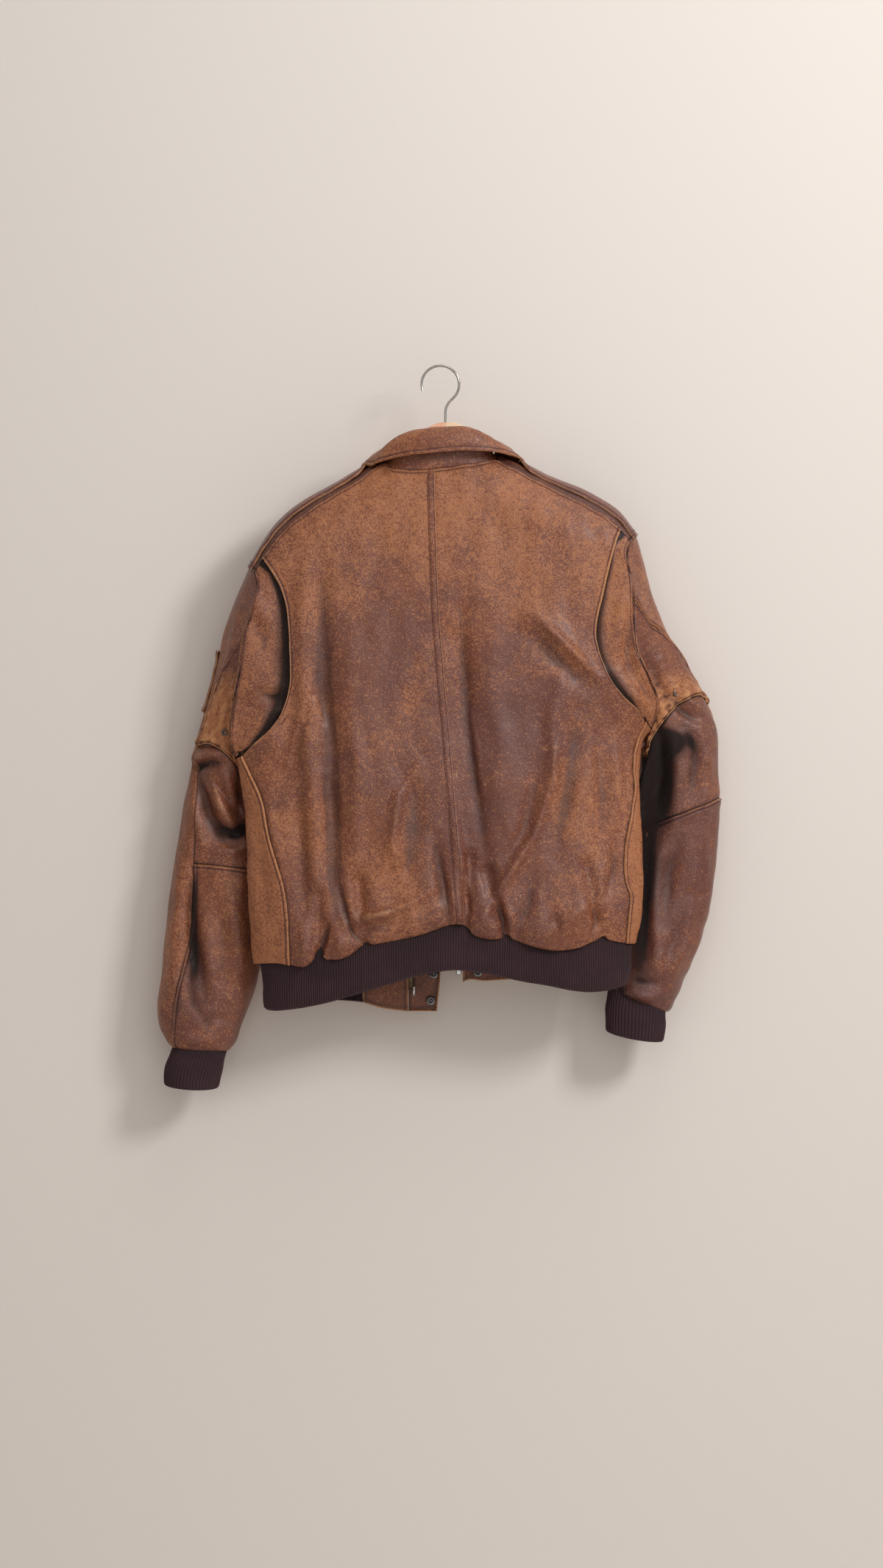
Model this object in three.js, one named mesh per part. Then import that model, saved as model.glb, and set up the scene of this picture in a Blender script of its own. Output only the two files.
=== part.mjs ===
// A worn leather flight jacket hanging on a contoured wooden hanger, seen with its back towards -Y.
// Millimetres, +Z up. The origin is the inside of the hanger hook's top, where a peg or rail holds it.
// +X is the wearer's right, +Y is the front of the jacket.
//
// Every panel is a thin wall: a grid of points on the garment's outer surface, and the same grid
// moved inwards by the wall's thickness, closed round its rim.
import * as THREE from 'three';
import { mergeVertices } from 'three/addons/utils/BufferGeometryUtils.js';

// ---------------------------------------------------------------- driving dimensions
const LEATHER = 2.0;            // wall of the hide
const KNIT = 3.0;               // wall of the rib knit
const SEAM = 0.16;              // each panel stops this far short of its seam line
const ARMHOLE_GAP = 1.5;         // and this far at the armhole, where the wall turns a corner
const LAP = 0.4;                // clearance of a piece that lies on another
const SHOULDER_ROUND = 70;      // how far below the shoulder ridge the torso reaches its full depth
const HEM_ROUND = 26;           // height over which the blouson rolls in to the waistband
const BACK_TUCK = 0.84;         // part of the back's depth that is left at the waistband
const FRONT_TUCK = 0.96;
const SHOULDER_LAP = 22;        // the shoulder piece reaches this far down the back
const YOKE_FRONT = 25;          // and this far down the front
const WAISTBAND_TOP = 8;        // the rib reaches this far up inside the leather
const UNDERARM_GAP = 5;         // the side panel starts this far below the underarm point
const PLEAT_TUCK = 12;          // width of the pleat that hides under the back panel
const PLEAT_DEPTH = 4.4;
const GUSSET = 1.2;             // wall of the soft hide under each arm
const STRAP = 1.8;              // wall of the shoulder straps
const STRIP = 1.6;              // wall of the lap down the centre back
const HOOK_WIRE = 3.3;
const HOOK_REACH = 24.5;        // radius of the hook's bend

// ---------------------------------------------------------------- small mathematics
// A smooth function through a few [key, value] pairs.
function through(pairs) {
  const rows = [...pairs].sort((a, b) => a[0] - b[0]);
  const slope = rows.map((row, i) => {
    const before = rows[Math.max(0, i - 1)];
    const after = rows[Math.min(rows.length - 1, i + 1)];
    return (after[1] - before[1]) / (after[0] - before[0]);
  });
  return (key) => {
    if (key <= rows[0][0]) return rows[0][1];
    if (key >= rows[rows.length - 1][0]) return rows[rows.length - 1][1];
    let i = 0;
    while (rows[i + 1][0] < key) i += 1;
    const span = rows[i + 1][0] - rows[i][0];
    const t = (key - rows[i][0]) / span;
    const bend = t * t * (3 - 2 * t);
    const lift = t * (1 - t) * (1 - t) * span * slope[i] - t * t * (1 - t) * span * slope[i + 1];
    return rows[i][1] + (rows[i + 1][1] - rows[i][1]) * bend + lift;
  };
}

const mix = (a, b, t) => a + (b - a) * t;
const clamp01 = (t) => Math.min(1, Math.max(0, t));
const steps = (n) => Array.from({ length: n + 1 }, (_, i) => i / n);

// Points spaced along a smooth curve in the XZ plane, at the given fractions of its length.
function along(points, fractions) {
  const curve = new THREE.SplineCurve(points.map(([x, z]) => new THREE.Vector2(x, z)));
  curve.arcLengthDivisions = 400;
  return fractions.map((f) => {
    const p = curve.getPointAt(f);
    return [p.x, p.y];
  });
}

// ---------------------------------------------------------------- the torso's outer surface
// The shoulder ridge, and its continuation over the neck, which only shapes the panels there.
const ridge = through([[-300, -345], [-249, -263], [-236, -243], [-225, -224], [-212, -206],
  [-190, -187], [-162, -168], [-128, -150], [-95, -132], [-70, -116], [-40, -106], [0, -103],
  [40, -103], [75, -114], [113, -131], [157, -150], [199, -168], [230, -187], [246, -206],
  [258, -222], [300, -290]]);
// The side folds. Above the underarm they are only the width that shapes the armhole's depth.
const sideLeft = through([[-100, -306], [-470, -304], [-496, -286], [-514, -266], [-530, -261],
  [-558, -256], [-600, -252], [-652, -251], [-700, -249], [-744, -246], [-790, -242], [-850, -240]]);
const sideRight = through([[-100, 312], [-425, 312], [-452, 298], [-474, 277], [-492, 266],
  [-534, 261], [-570, 262], [-620, 265], [-680, 266], [-717, 264], [-752, 256], [-850, 250]]);
const foldY = through([[-100, 0], [-440, 0], [-480, -4], [-520, -12], [-560, -20], [-850, -22]]);
const backDepth = through([[-100, 50], [-250, 56], [-400, 59], [-480, 57], [-520, 52], [-560, 46],
  [-650, 49], [-720, 55], [-850, 54]]);
const frontDepth = through([[-100, 44], [-250, 47], [-440, 48], [-520, 56], [-560, 60], [-850, 57]]);
const backHem = through([[-245, -779], [-211, -778], [-176, -781], [-161, -772], [-155, -763],
  [-149, -771], [-122, -769], [-103, -757], [-97, -748], [-90, -752], [-51, -745], [-18, -737],
  [13, -726], [33, -726], [42, -737], [62, -744], [80, -743], [86, -738], [94, -744], [131, -757],
  [159, -760], [183, -756], [205, -746], [210, -740], [216, -746], [244, -752], [262, -753]]);
const frontHem = through([[-245, -779], [-170, -782], [-100, -785], [-40, -785], [10, -765],
  [31, -747], [110, -748], [180, -750], [244, -752], [262, -753]]);

// The largest folds of the back: a soft trough (depth over 0) or ridge (under 0) along a line.
const BACK_FOLDS = [
  { from: [-205, -300], to: [-178, -700], width: 20, depth: 6 },
  { from: [18, -360], to: [44, -690], width: 20, depth: 5 },
  { from: [-110, -380], to: [-60, -620], width: 34, depth: -5 },
  { from: [122, -330], to: [252, -440], width: 20, depth: -5 },
  { from: [150, -330], to: [190, -700], width: 30, depth: -4 },
  { from: [-155, -690], to: [-155, -764], width: 9, depth: 9 },
  { from: [-104, -670], to: [-97, -750], width: 9, depth: 9 },
  { from: [60, -660], to: [86, -740], width: 10, depth: 9 },
  { from: [38, -640], to: [38, -728], width: 9, depth: 7 },
  { from: [190, -650], to: [210, -742], width: 9, depth: 8 },
];

function foldAt(folds, x, z) {
  let sum = 0;
  for (const { from, to, width, depth } of folds) {
    const dx = to[0] - from[0];
    const dz = to[1] - from[1];
    const t = clamp01(((x - from[0]) * dx + (z - from[1]) * dz) / (dx * dx + dz * dz));
    const away = Math.hypot(x - from[0] - t * dx, z - from[1] - t * dz) / width;
    sum += depth * Math.exp(-away * away);
  }
  return sum;
}

// face -1 is the back, +1 the front. The section is a flat oval, rounded off towards the
// shoulder ridge and rolled in at the hem, so the square of its depth is a product of three.
function fullness(x, z, face) {
  const left = sideLeft(z);
  const right = sideRight(z);
  const across = Math.abs((2 * x - left - right) / (right - left));
  const below = 1 - Math.min(1, (ridge(x) - z) / SHOULDER_ROUND);
  const tuck = face < 0 ? BACK_TUCK : FRONT_TUCK;
  const hem = face < 0 ? backHem(x) : frontHem(x);
  const roll = 1 - clamp01((z - hem) / HEM_ROUND);
  return (1 - across ** 3) * (1 - below * below) * (1 - (1 - tuck * tuck) * roll * roll);
}

const torsoDepth = (z, face) => (face < 0 ? backDepth(z) : frontDepth(z));

function torso(x, z, face) {
  const full = Math.sqrt(Math.max(0, fullness(x, z, face)));
  const free = clamp01((z - backHem(x)) / HEM_ROUND);
  const crease = face < 0 ? foldAt(BACK_FOLDS, x, z) * full * free : 0;
  return new THREE.Vector3(x, foldY(z) + face * torsoDepth(z, face) * full + crease, z);
}

// The surface's normal, from the slope of (depth / full depth)^2 - fullness.
function torsoNormal(x, z, face) {
  const full = Math.sqrt(Math.max(0, fullness(x, z, face)));
  const h = 0.5;
  const level = (px, pz) => -fullness(px, pz, face);
  return new THREE.Vector3(
    (level(x + h, z) - level(x - h, z)) / (2 * h),
    (2 * face * full) / torsoDepth(z, face),
    (level(x, z + h) - level(x, z - h)) / (2 * h),
  ).normalize();
}

const onTorso = (face) => ([x, z]) => ({ p: torso(x, z, face), n: torsoNormal(x, z, face) });

// ---------------------------------------------------------------- the waistband's outer surface
const bandLeft = through([[-720, -238], [-775, -237], [-795, -231], [-850, -227]]);
const bandRight = through([[-720, 250], [-770, 249], [-791, 246], [-808, 241], [-850, 240]]);
const BAND_BACK = 42;
const BAND_FRONT = 51;

function band(x, z, face) {
  const left = bandLeft(z);
  const right = bandRight(z);
  const across = Math.min(1, Math.abs((2 * x - left - right) / (right - left)));
  const full = Math.sqrt(1 - across ** 3);
  const depth = face < 0 ? BAND_BACK : BAND_FRONT;
  const p = new THREE.Vector3(x, foldY(z) + face * depth * full, z);
  const slope = (3 * across * across * Math.sign(2 * x - left - right) * 2) / (right - left);
  const n = new THREE.Vector3(slope, (2 * face * full) / depth, 0).normalize();
  return { p, n };
}

// ---------------------------------------------------------------- walls
// rows[j][i] is { p, n }: a point of the outer surface and its outward normal.
function wall(rows, thickness, closed = false) {
  const count = rows[0].length;
  const positions = [];
  for (const row of rows) for (const { p } of row) positions.push(p.x, p.y, p.z);
  for (const row of rows) {
    for (const { p, n } of row) {
      positions.push(p.x - n.x * thickness, p.y - n.y * thickness, p.z - n.z * thickness);
    }
  }
  const inner = rows.length * count;
  const at = (j, i) => j * count + (closed ? i % count : i);
  const index = [];
  const quad = (a, b, c, d) => index.push(a, b, c, a, c, d);
  const last = closed ? count : count - 1;
  for (let j = 0; j < rows.length - 1; j += 1) {
    for (let i = 0; i < last; i += 1) {
      quad(at(j, i), at(j + 1, i), at(j + 1, i + 1), at(j, i + 1));
      quad(inner + at(j, i), inner + at(j, i + 1), inner + at(j + 1, i + 1), inner + at(j + 1, i));
    }
  }
  const end = rows.length - 1;
  for (let i = 0; i < last; i += 1) {
    quad(at(0, i), at(0, i + 1), inner + at(0, i + 1), inner + at(0, i));
    quad(at(end, i + 1), at(end, i), inner + at(end, i), inner + at(end, i + 1));
  }
  if (!closed) {
    for (let j = 0; j < end; j += 1) {
      quad(at(j + 1, 0), at(j, 0), inner + at(j, 0), inner + at(j + 1, 0));
      quad(at(j, last), at(j + 1, last), inner + at(j + 1, last), inner + at(j, last));
    }
  }
  const geometry = new THREE.BufferGeometry();
  geometry.setAttribute('position', new THREE.Float32BufferAttribute(positions, 3));
  geometry.setIndex(index);
  return outward(geometry);
}

// Turns a closed mesh's faces over if they point inwards.
function outward(geometry) {
  const p = geometry.attributes.position;
  const index = geometry.index.array;
  const [a, b, c] = [new THREE.Vector3(), new THREE.Vector3(), new THREE.Vector3()];
  let volume = 0;
  for (let i = 0; i < index.length; i += 3) {
    a.fromBufferAttribute(p, index[i]);
    b.fromBufferAttribute(p, index[i + 1]);
    c.fromBufferAttribute(p, index[i + 2]);
    volume += a.dot(b.cross(c));
  }
  if (volume < 0) {
    for (let i = 0; i < index.length; i += 3) {
      [index[i], index[i + 1]] = [index[i + 1], index[i]];
    }
  }
  geometry.computeVertexNormals();
  return geometry;
}

// Fills a four-sided outline with a grid (a Coons patch in the XZ plane).
function patch(top, bottom, left, right) {
  const columns = top.length - 1;
  const lines = left.length - 1;
  return steps(lines).map((v, j) => steps(columns).map((u, i) => [0, 1].map((k) => (
    mix(left[j][k], right[j][k], u) + mix(top[i][k], bottom[i][k], v)
    - mix(mix(top[0][k], top[columns][k], u), mix(bottom[0][k], bottom[columns][k], u), v)
  ))));
}

// Draws the rim of a grid of XZ points in by the seam's half gap.
function drawIn(grid, gap = SEAM, firstGap = gap, lastGap = gap) {
  const rows = grid.map((row) => row.map((q) => [...q]));
  const pull = (q, towards, by = gap) => {
    const dx = towards[0] - q[0];
    const dz = towards[1] - q[1];
    const length = Math.hypot(dx, dz) || 1;
    return [q[0] + (dx / length) * by, q[1] + (dz / length) * by];
  };
  const end = rows.length - 1;
  for (const row of rows) {
    const last = row.length - 1;
    [row[0], row[last]] = [pull(row[0], row[1], firstGap), pull(row[last], row[last - 1], lastGap)];
  }
  for (let i = 0; i < rows[0].length; i += 1) {
    const [first, next] = [rows[0][i], rows[1][i]];
    const [final, before] = [rows[end][i], rows[end - 1][i]];
    rows[0][i] = pull(first, next);
    rows[end][i] = pull(final, before);
  }
  return rows;
}

const panel = (grid, face, thickness = LEATHER) => (
  wall(drawIn(grid).map((row) => row.map(onTorso(face))), thickness)
);

// ---------------------------------------------------------------- seam lines of the torso
const ROWS_UPPER = 10;          // rows beside the armhole
const CENTRE_BACK = [[-11, -138], [-8, -240], [-4, -332], [3, -420], [9, -485], [19, -614],
  [28, -725.9]];

const SIDES = {
  left: {
    tip: [-249, -263],
    // back shoulder seam, from the pleat's top to the neck
    shoulderX: [-229, -205, -180, -155, -128, -100, -73],
    neckBack: [[-73, -129], [-62, -136], [-42, -138], [-11, -138]],
    neckFront: [[-73, -136], [-66, -160], [-44, -184], [-40.4, -190]],
    actionEdge: [[-229, -252], [-207, -289], [-197, -326], [-194, -372], [-194, -415],
      [-203, -449], [-219, -475], [-256, -509]],
    sideBackSeam: [[-256, -509], [-249, -524], [-233, -556], [-226, -579], [-219, -616],
      [-201, -677], [-195, -720], [-193, -780]],
    armholeBack: [[-240, -271], [-237, -290], [-247, -326], [-256, -353], [-262, -398],
      [-269, -437], [-273, -480], [-272, -500], [-264.5, -513]],
    armholeFront: [[-241, -274], [-229, -300], [-224, -345], [-226, -400], [-238, -455],
      [-256, -495], [-264.5, -513]],
    underarmZ: -513,
    hemZ: -779,
    side: sideLeft,
    hemInner: -193,
    frontEdge: [[-40.4, -190], [-40.4, -500], [-40.4, -785]],
  },
  right: {
    tip: [258, -222],
    shoulderX: [236, 212, 186, 160, 132, 104, 75],
    neckBack: [[75, -123.5], [62, -126], [40, -130], [-11, -138]],
    neckFront: [[75, -131], [68, -156], [46, -180], [17, -187]],
    actionEdge: [[236, -213], [226, -245], [213, -298], [204, -340], [206, -369], [220, -406],
      [239, -432], [268, -464]],
    sideBackSeam: [[268, -464], [254, -500], [252, -526], [254, -545], [250, -575], [240, -630],
      [240, -668], [247, -690], [245, -716], [242, -752]],
    armholeBack: [[248, -232], [243, -249], [251, -275], [253, -326], [260, -374], [277, -409],
      [286, -436], [284, -458], [275.5, -474.5]],
    armholeFront: [[249, -236], [238, -262], [232, -305], [234, -360], [247, -415],
      [266, -455], [275.5, -474.5]],
    underarmZ: -474.5,
    hemZ: -752.5,
    side: sideRight,
    hemInner: 242,
    frontEdge: [[17, -187], [23, -480], [31, -747]],
  },
};

const centreRows = along(CENTRE_BACK, rowFractions());

function rowFractions() {
  const upper = steps(ROWS_UPPER).slice(0, -1).map((f) => f * 0.6);
  const rest = [0.6, 0.68, 0.76, 0.83, 0.89, 0.935, 0.965, 0.985, 1];
  return [...upper, ...rest];
}

// Rows beside the side fold, closer together towards the hem's roll.
const lower = [0, 0.2, 0.4, 0.57, 0.72, 0.84, 0.91, 0.96, 1];

for (const S of Object.values(SIDES)) {
  S.shoulderSeam = S.shoulderX.map((x, i) => [x, ridge(x) - mix(SHOULDER_LAP, 11, i / 6)]);
  S.neckBack[0] = S.shoulderSeam.at(-1);
  S.backTop = [...S.shoulderSeam.slice(0, -1), ...S.neckBack];
  S.action = along([S.shoulderSeam[0], ...S.actionEdge.slice(1)], steps(ROWS_UPPER));
  S.sideBack = along(S.sideBackSeam, lower);
  S.outerBack = [...S.action, ...S.sideBack.slice(1)];
  S.armBack = along(S.armholeBack, steps(ROWS_UPPER));
  S.armFront = along(S.armholeFront, steps(ROWS_UPPER));
  S.sideFold = lower.map((f) => {
    const z = mix(S.underarmZ, S.hemZ, f);
    return [S.side(z), z];
  });
  S.frontShoulder = [S.armholeFront[0], ...S.shoulderX.slice(0, -1).map((x, i) => (
    [x, ridge(x) - mix(YOKE_FRONT, 20, i / 6)])), S.neckFront[0]];
  S.frontTop = [...S.frontShoulder.slice(0, -1), ...S.neckFront];
  const centre = S.hemInner;
  S.backHem = steps(9).map((u) => {
    const x = mix(centre, CENTRE_BACK.at(-1)[0], u);
    return [x, backHem(x)];
  });
  S.sideBack[S.sideBack.length - 1] = S.backHem[0];
  S.outerBack[S.outerBack.length - 1] = S.backHem[0];
  S.sideFold[S.sideFold.length - 1] = [S.side(S.hemZ), S.hemZ];
  const edge = S.frontEdge.at(-1)[0];
  S.frontHemLine = steps(S.frontTop.length - 1).map((u) => {
    const x = mix(S.sideFold.at(-1)[0], edge, u);
    return [x, u === 0 ? S.hemZ : frontHem(x)];
  });
  S.frontRows = along(S.frontEdge, rowFractions());
}

// ---------------------------------------------------------------- torso panels
const backPanel = (S) => panel(patch(S.backTop, S.backHem, S.outerBack, centreRows), -1);
function frontPanel(S) {
  const inward = -Math.sign(S.tip[0]);
  const arm = S.armFront.map(([x, z], j) => [x + inward * UNDERARM_GAP * (j / ROWS_UPPER) ** 4, z]);
  const outer = [...arm, ...S.sideFold.slice(1)];
  const grid = drawIn(patch(S.frontTop, S.frontHemLine, outer, S.frontRows), SEAM, ARMHOLE_GAP);
  return wall(grid.map((row) => row.map(onTorso(1))), LEATHER);
}

function sidePanel(S) {
  const top = steps(3).map((u) => [mix(S.sideBack[0][0], S.sideFold[0][0], u),
    mix(S.sideBack[0][1], S.sideFold[0][1], u) - UNDERARM_GAP]);
  const bottom = steps(3).map((u) => {
    const x = mix(S.backHem[0][0], S.sideFold.at(-1)[0], u);
    return [x, u === 0 ? S.backHem[0][1] : backHem(x)];
  });
  bottom[3] = S.sideFold.at(-1);
  const seam = [top[0], ...S.sideBack.slice(1)];
  const fold = [top[3], ...S.sideFold.slice(1)];
  return panel(patch(top, bottom, seam, fold), -1);
}

// The bi-swing pleat: sunk below the back panel's edge, level with it again at the armhole.
function pleat(S) {
  const inward = S.tip[0] < 0 ? 1 : -1;
  const hidden = S.action.map(([x, z], j) => (
    [x + inward * PLEAT_TUCK * Math.sin((Math.PI * Math.min(j + 1, 9)) / 11), z]));
  const last = hidden.length - 1;
  hidden[0] = [S.action[0][0] - inward * 1.5, S.action[0][1] - 1.5];
  hidden[last] = [S.action[last][0] - inward * 2.5, S.action[last][1] + 3.5];
  const columns = 4;
  const top = steps(columns).map((u) => [mix(hidden[0][0], S.armBack[0][0], u),
    mix(hidden[0][1], S.armBack[0][1], u) - 0.5 - 1.5 * Math.sin(Math.PI * u)]);
  hidden[0] = top[0];
  const bottom = steps(columns).map((u) => [mix(hidden[last][0], S.armBack[last][0], u),
    mix(hidden[last][1], S.armBack[last][1] + 3, u)]);
  const edge = [top[columns], ...S.armBack.slice(1, -1), bottom[columns]];
  const grid = drawIn(patch(top, bottom, hidden, edge), SEAM, SEAM, ARMHOLE_GAP);
  return wall(grid.map((row, j) => row.map(([x, z], i) => {
    const { p, n } = onTorso(-1)([x, z]);
    const sink = PLEAT_DEPTH * (1 - (i / columns) ** 2) * Math.min(1, (j + 0.6) / 2);
    return { p: p.clone().addScaledVector(n, -sink), n };
  })), LEATHER);
}

// The shoulder piece's rows run over the ridge, from the back seam to the front one.
function shoulderRows(S) {
  const back = [S.armBack[0], ...S.shoulderSeam];
  const front = S.frontShoulder;
  const crest = [S.tip[0], ...S.shoulderX.slice(0, -1), S.tip[0] < 0 ? -75.5 : 79];
  const halfway = (q, x) => [mix(q[0], x, 0.62), mix(q[1], ridge(x), 0.62)];
  const grid = [back, back.map((q, i) => halfway(q, crest[i])), crest.map((x) => [x, ridge(x)]),
    front.map((q, i) => halfway(q, crest[i])), front];
  return drawIn(grid).map((row, j) => row.map(onTorso(j < 3 ? -1 : 1)));
}

// The lap along the centre of the back, made from the two back panels' own points.
function centreStrip() {
  const half = 4.8;
  const beside = (S) => drawIn(patch(S.backTop, S.backHem, S.outerBack, centreRows)).map((row, j, all) => {
    const [near, next] = [row.at(-1), row.at(-2)].map(onTorso(-1));
    const share = half / near.p.distanceTo(next.p);
    const n = near.n.clone().lerp(next.n, share).normalize();
    const lift = STRIP + (j === all.length - 1 ? 1.4 : 0.8);
    return { p: near.p.clone().lerp(next.p, share).addScaledVector(n, lift), n };
  });
  const left = beside(SIDES.left);
  const right = beside(SIDES.right);
  return wall(left.map((q, j) => [q, right[j]]), STRIP);
}

// ---------------------------------------------------------------- sleeves
// Stations run from the armhole (0) to the cuff (1). outer and inner are the two folds of the
// flattened sleeve in the XZ plane, middle its Y, deep its half thickness, and hindSeam and
// foreSeam are the angles of the two long seams. Angle 0 is the outer fold, 90 the back.
const degrees = Math.PI / 180;
const SLEEVES = {
  left: {
    turn: -1,
    outer: [[-249, -263], [-280, -338], [-297, -410], [-319, -488], [-333, -559], [-346, -633],
      [-357, -712], [-364, -785], [-370, -850], [-352, -893]],
    inner: [[-264.5, -513], [-260, -536], [-251, -566], [-240, -600], [-231, -630], [-225, -668],
      [-226, -728], [-236, -790], [-252, -842], [-272, -896]],
    hindSeam: through([[0, 75], [0.12, 55], [0.22, 30], [0.33, 22], [0.45, 46], [0.55, 54],
      [0.7, 62], [0.8, 54], [0.9, 50], [1, 30]]),
    gusset: [0.34, 0.13],
    elbow: [0.57, 0.52],
    fold: (t, a) => 20 * bump(t, 0.2, 0.2) * bump(a, 145, 40)
      + 9 * bump(t, 0.66, 0.16) * bump(a, 70, 16) + 5 * bump(t, 0.5, 0.03) * bump(a, 110, 40),
  },
  right: {
    turn: 1,
    outer: [[258, -222], [288, -320], [327, -391], [362, -464], [368, -545], [366, -622],
      [357, -694], [343, -752], [320, -803], [302, -846]],
    inner: [[275.5, -474.5], [272, -500], [266, -530], [257, -562], [250, -600], [244, -655],
      [238, -712], [232, -762], [227, -797], [224, -816]],
    hindSeam: through([[0, 75], [0.08, 52], [0.18, 14], [0.3, -8], [1, -12]]),
    gusset: [0.3, 0.13],
    elbow: [0.47, 0.47],
    fold: (t, a) => 26 * bump(t, 0.38, 0.14) * bump(a, 128, 34) + 8 * bump(t, 0.12, 0.16) * bump(a, 140, 45)
      + 5 * bump(t, 0.62, 0.05) * bump(a, 95, 30) - 4 * bump(t, 0.84, 0.05) * bump(a, 75, 35),
  },
};
const FORE_SEAM = 210;
const MIDDLE = [0, 22, 30, 32, 32, 31, 30, 28, 27, 26];
const DEEP = [40, 42, 42, 40, 38, 38, 38, 38, 37, 30];
const ARM_STEP = 15;
const ANGLE_GAP = 0.75;
const ARMHOLE_TRIM = 0.9;
const ROW_TRIM = 1.35;

const bump = (value, centre, width) => Math.exp(-(((value - centre) / width) ** 2));

function guide(points) {
  const curve = new THREE.CatmullRomCurve3(points.map((q) => new THREE.Vector3(...q)), false,
    'catmullrom', 0.5);
  return (t) => curve.getPoint(t);
}

for (const [name, V] of Object.entries(SLEEVES)) {
  const S = SIDES[name];
  const stations = (fold) => guide(fold.map(([x, z], i) => [x, MIDDLE[i], z]));
  V.outerAt = stations(V.outer);
  V.innerAt = stations(V.inner);
  V.deepAt = through(DEEP.map((d, i) => [i / (DEEP.length - 1), d]));
  // the armhole ring: tip, two steps down the shoulder piece's end, then the panel's edge
  const ring = (edge, face) => {
    const crest = torso(S.tip[0], ridge(S.tip[0]), face);
    const low = edge[0];
    const between = [mix(low[0], S.tip[0], 0.62), mix(low[1], ridge(S.tip[0]), 0.62)];
    return [{ p: crest, n: torsoNormal(S.tip[0], ridge(S.tip[0]), face) },
      onTorso(face)(between), ...edge.map(onTorso(face))];
  };
  const back = ring(S.armBack, -1);
  const front = ring(S.armFront, 1);
  V.armhole = [...back, ...front.slice(1, -1).reverse()];
}

// The flattened oval between the two folds, with the folds of the sleeve's back in it.
function sleeveOval(V, t, angle) {
  const o = V.outerAt(t);
  const i = V.innerAt(t);
  const a = angle * degrees;
  const wrapped = ((angle % 360) + 360) % 360;
  const c = (1 + Math.cos(a)) / 2;
  const p = new THREE.Vector3().lerpVectors(i, o, c);
  p.y -= V.deepAt(t) * Math.sin(a) - V.fold(t, wrapped) * Math.max(0, Math.sin(a));
  return p;
}

function armholeAt(V, angle) {
  const count = V.armhole.length;
  const place = ((((angle / ARM_STEP) % count) + count) % count);
  const k = Math.floor(place);
  const [a, b] = [V.armhole[k], V.armhole[(k + 1) % count]];
  return { p: a.p.clone().lerp(b.p, place - k), n: a.n.clone().lerp(b.n, place - k).normalize() };
}

function sleevePoint(V, t, angle) {
  const p = sleeveOval(V, t, angle);
  const away = 1 - t / 0.3;
  if (away > 0) {
    const pull = armholeAt(V, angle).p.sub(sleeveOval(V, 0, angle));
    p.addScaledVector(pull, away * away);
  }
  return p;
}

function onSleeve(V, t, angle) {
  const p = sleevePoint(V, t, angle);
  const along1 = sleevePoint(V, Math.min(1, t + 0.01), angle)
    .sub(sleevePoint(V, Math.max(0, t - 0.01), angle));
  const round = sleevePoint(V, t, angle + 3).sub(sleevePoint(V, t, angle - 3));
  const n = along1.cross(round).normalize().multiplyScalar(V.turn);
  return { p, n };
}

const LINES_GUSSET = 4;
const LINES_UPPER = 5;
const LINES_LOWER = [0, 0.18, 0.36, 0.54, 0.7, 0.84, 0.95, 1];

// Moves the first and last rows' stations in, by a distance along the sleeve.
function trimEnds(V, rows, first) {
  const shift = (q, by, sign) => {
    const at = Math.min(0.99, Math.max(0.01, q[0]));
    const speed = sleevePoint(V, at + 0.01, q[1]).distanceTo(sleevePoint(V, at - 0.01, q[1])) / 0.02;
    q[0] += (sign * by) / Math.max(speed, 120);
  };
  for (const q of rows[0]) shift(q, first, 1);
  for (const q of rows.at(-1)) shift(q, ROW_TRIM, -1);
}

// A sleeve panel between two angles, from one pair of stations to the next.
function sleevePanel(V, from, to, fractions, angles, columns) {
  const rows = fractions.map((f) => {
    const ends = [mix(from[0], to[0], f), mix(from[1], to[1], f)];
    return steps(columns).map((u, i) => {
      const t = mix(ends[0], ends[1], u);
      const [a0, a1] = angles(ends);
      const gap = i === 0 ? ANGLE_GAP : i === columns ? -ANGLE_GAP : 0;
      return [t, mix(a0, a1, u) + gap];
    });
  });
  const first = from[0] + from[1] === 0;
  trimEnds(V, rows, first ? ARMHOLE_TRIM : ROW_TRIM);
  return wall(rows.map((row) => row.map(([t, angle]) => onSleeve(V, t, angle))), first ? GUSSET : LEATHER);
}

const UNDER_COLUMNS = 9;
const TOP_COLUMNS = 15;
const BOTTOM = [1, 1];

function underPanels(V) {
  const angles = (ends) => [V.hindSeam(ends[0]), FORE_SEAM];
  return {
    gusset: sleevePanel(V, [0, 0], V.gusset, steps(LINES_GUSSET), angles, UNDER_COLUMNS),
    upper: sleevePanel(V, V.gusset, V.elbow, steps(LINES_UPPER), angles, UNDER_COLUMNS),
    lower: sleevePanel(V, V.elbow, BOTTOM, LINES_LOWER, angles, UNDER_COLUMNS),
  };
}

function topPanel(V) {
  const turn = (pair) => [pair[1], pair[0]];
  const stations = [
    ...steps(LINES_GUSSET).slice(0, -1).map((f) => V.gusset.map((g) => g * f)),
    ...steps(LINES_UPPER).slice(0, -1).map((f) => V.gusset.map((g, k) => mix(g, V.elbow[k], f))),
    ...LINES_LOWER.map((f) => V.elbow.map((e) => mix(e, 1, f))),
  ];
  const rows = stations.map((pair) => {
    const [t0, t1] = turn(pair);
    const end = V.hindSeam(pair[0]) + 360;
    return steps(TOP_COLUMNS).map((u, i) => {
      const gap = i === 0 ? ANGLE_GAP : i === TOP_COLUMNS ? -ANGLE_GAP : 0;
      return [mix(t0, t1, u), mix(FORE_SEAM, end, u) + gap];
    });
  });
  trimEnds(V, rows, ARMHOLE_TRIM);
  return wall(rows.map((row) => row.map(([t, angle]) => onSleeve(V, t, angle))), LEATHER);
}

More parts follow.
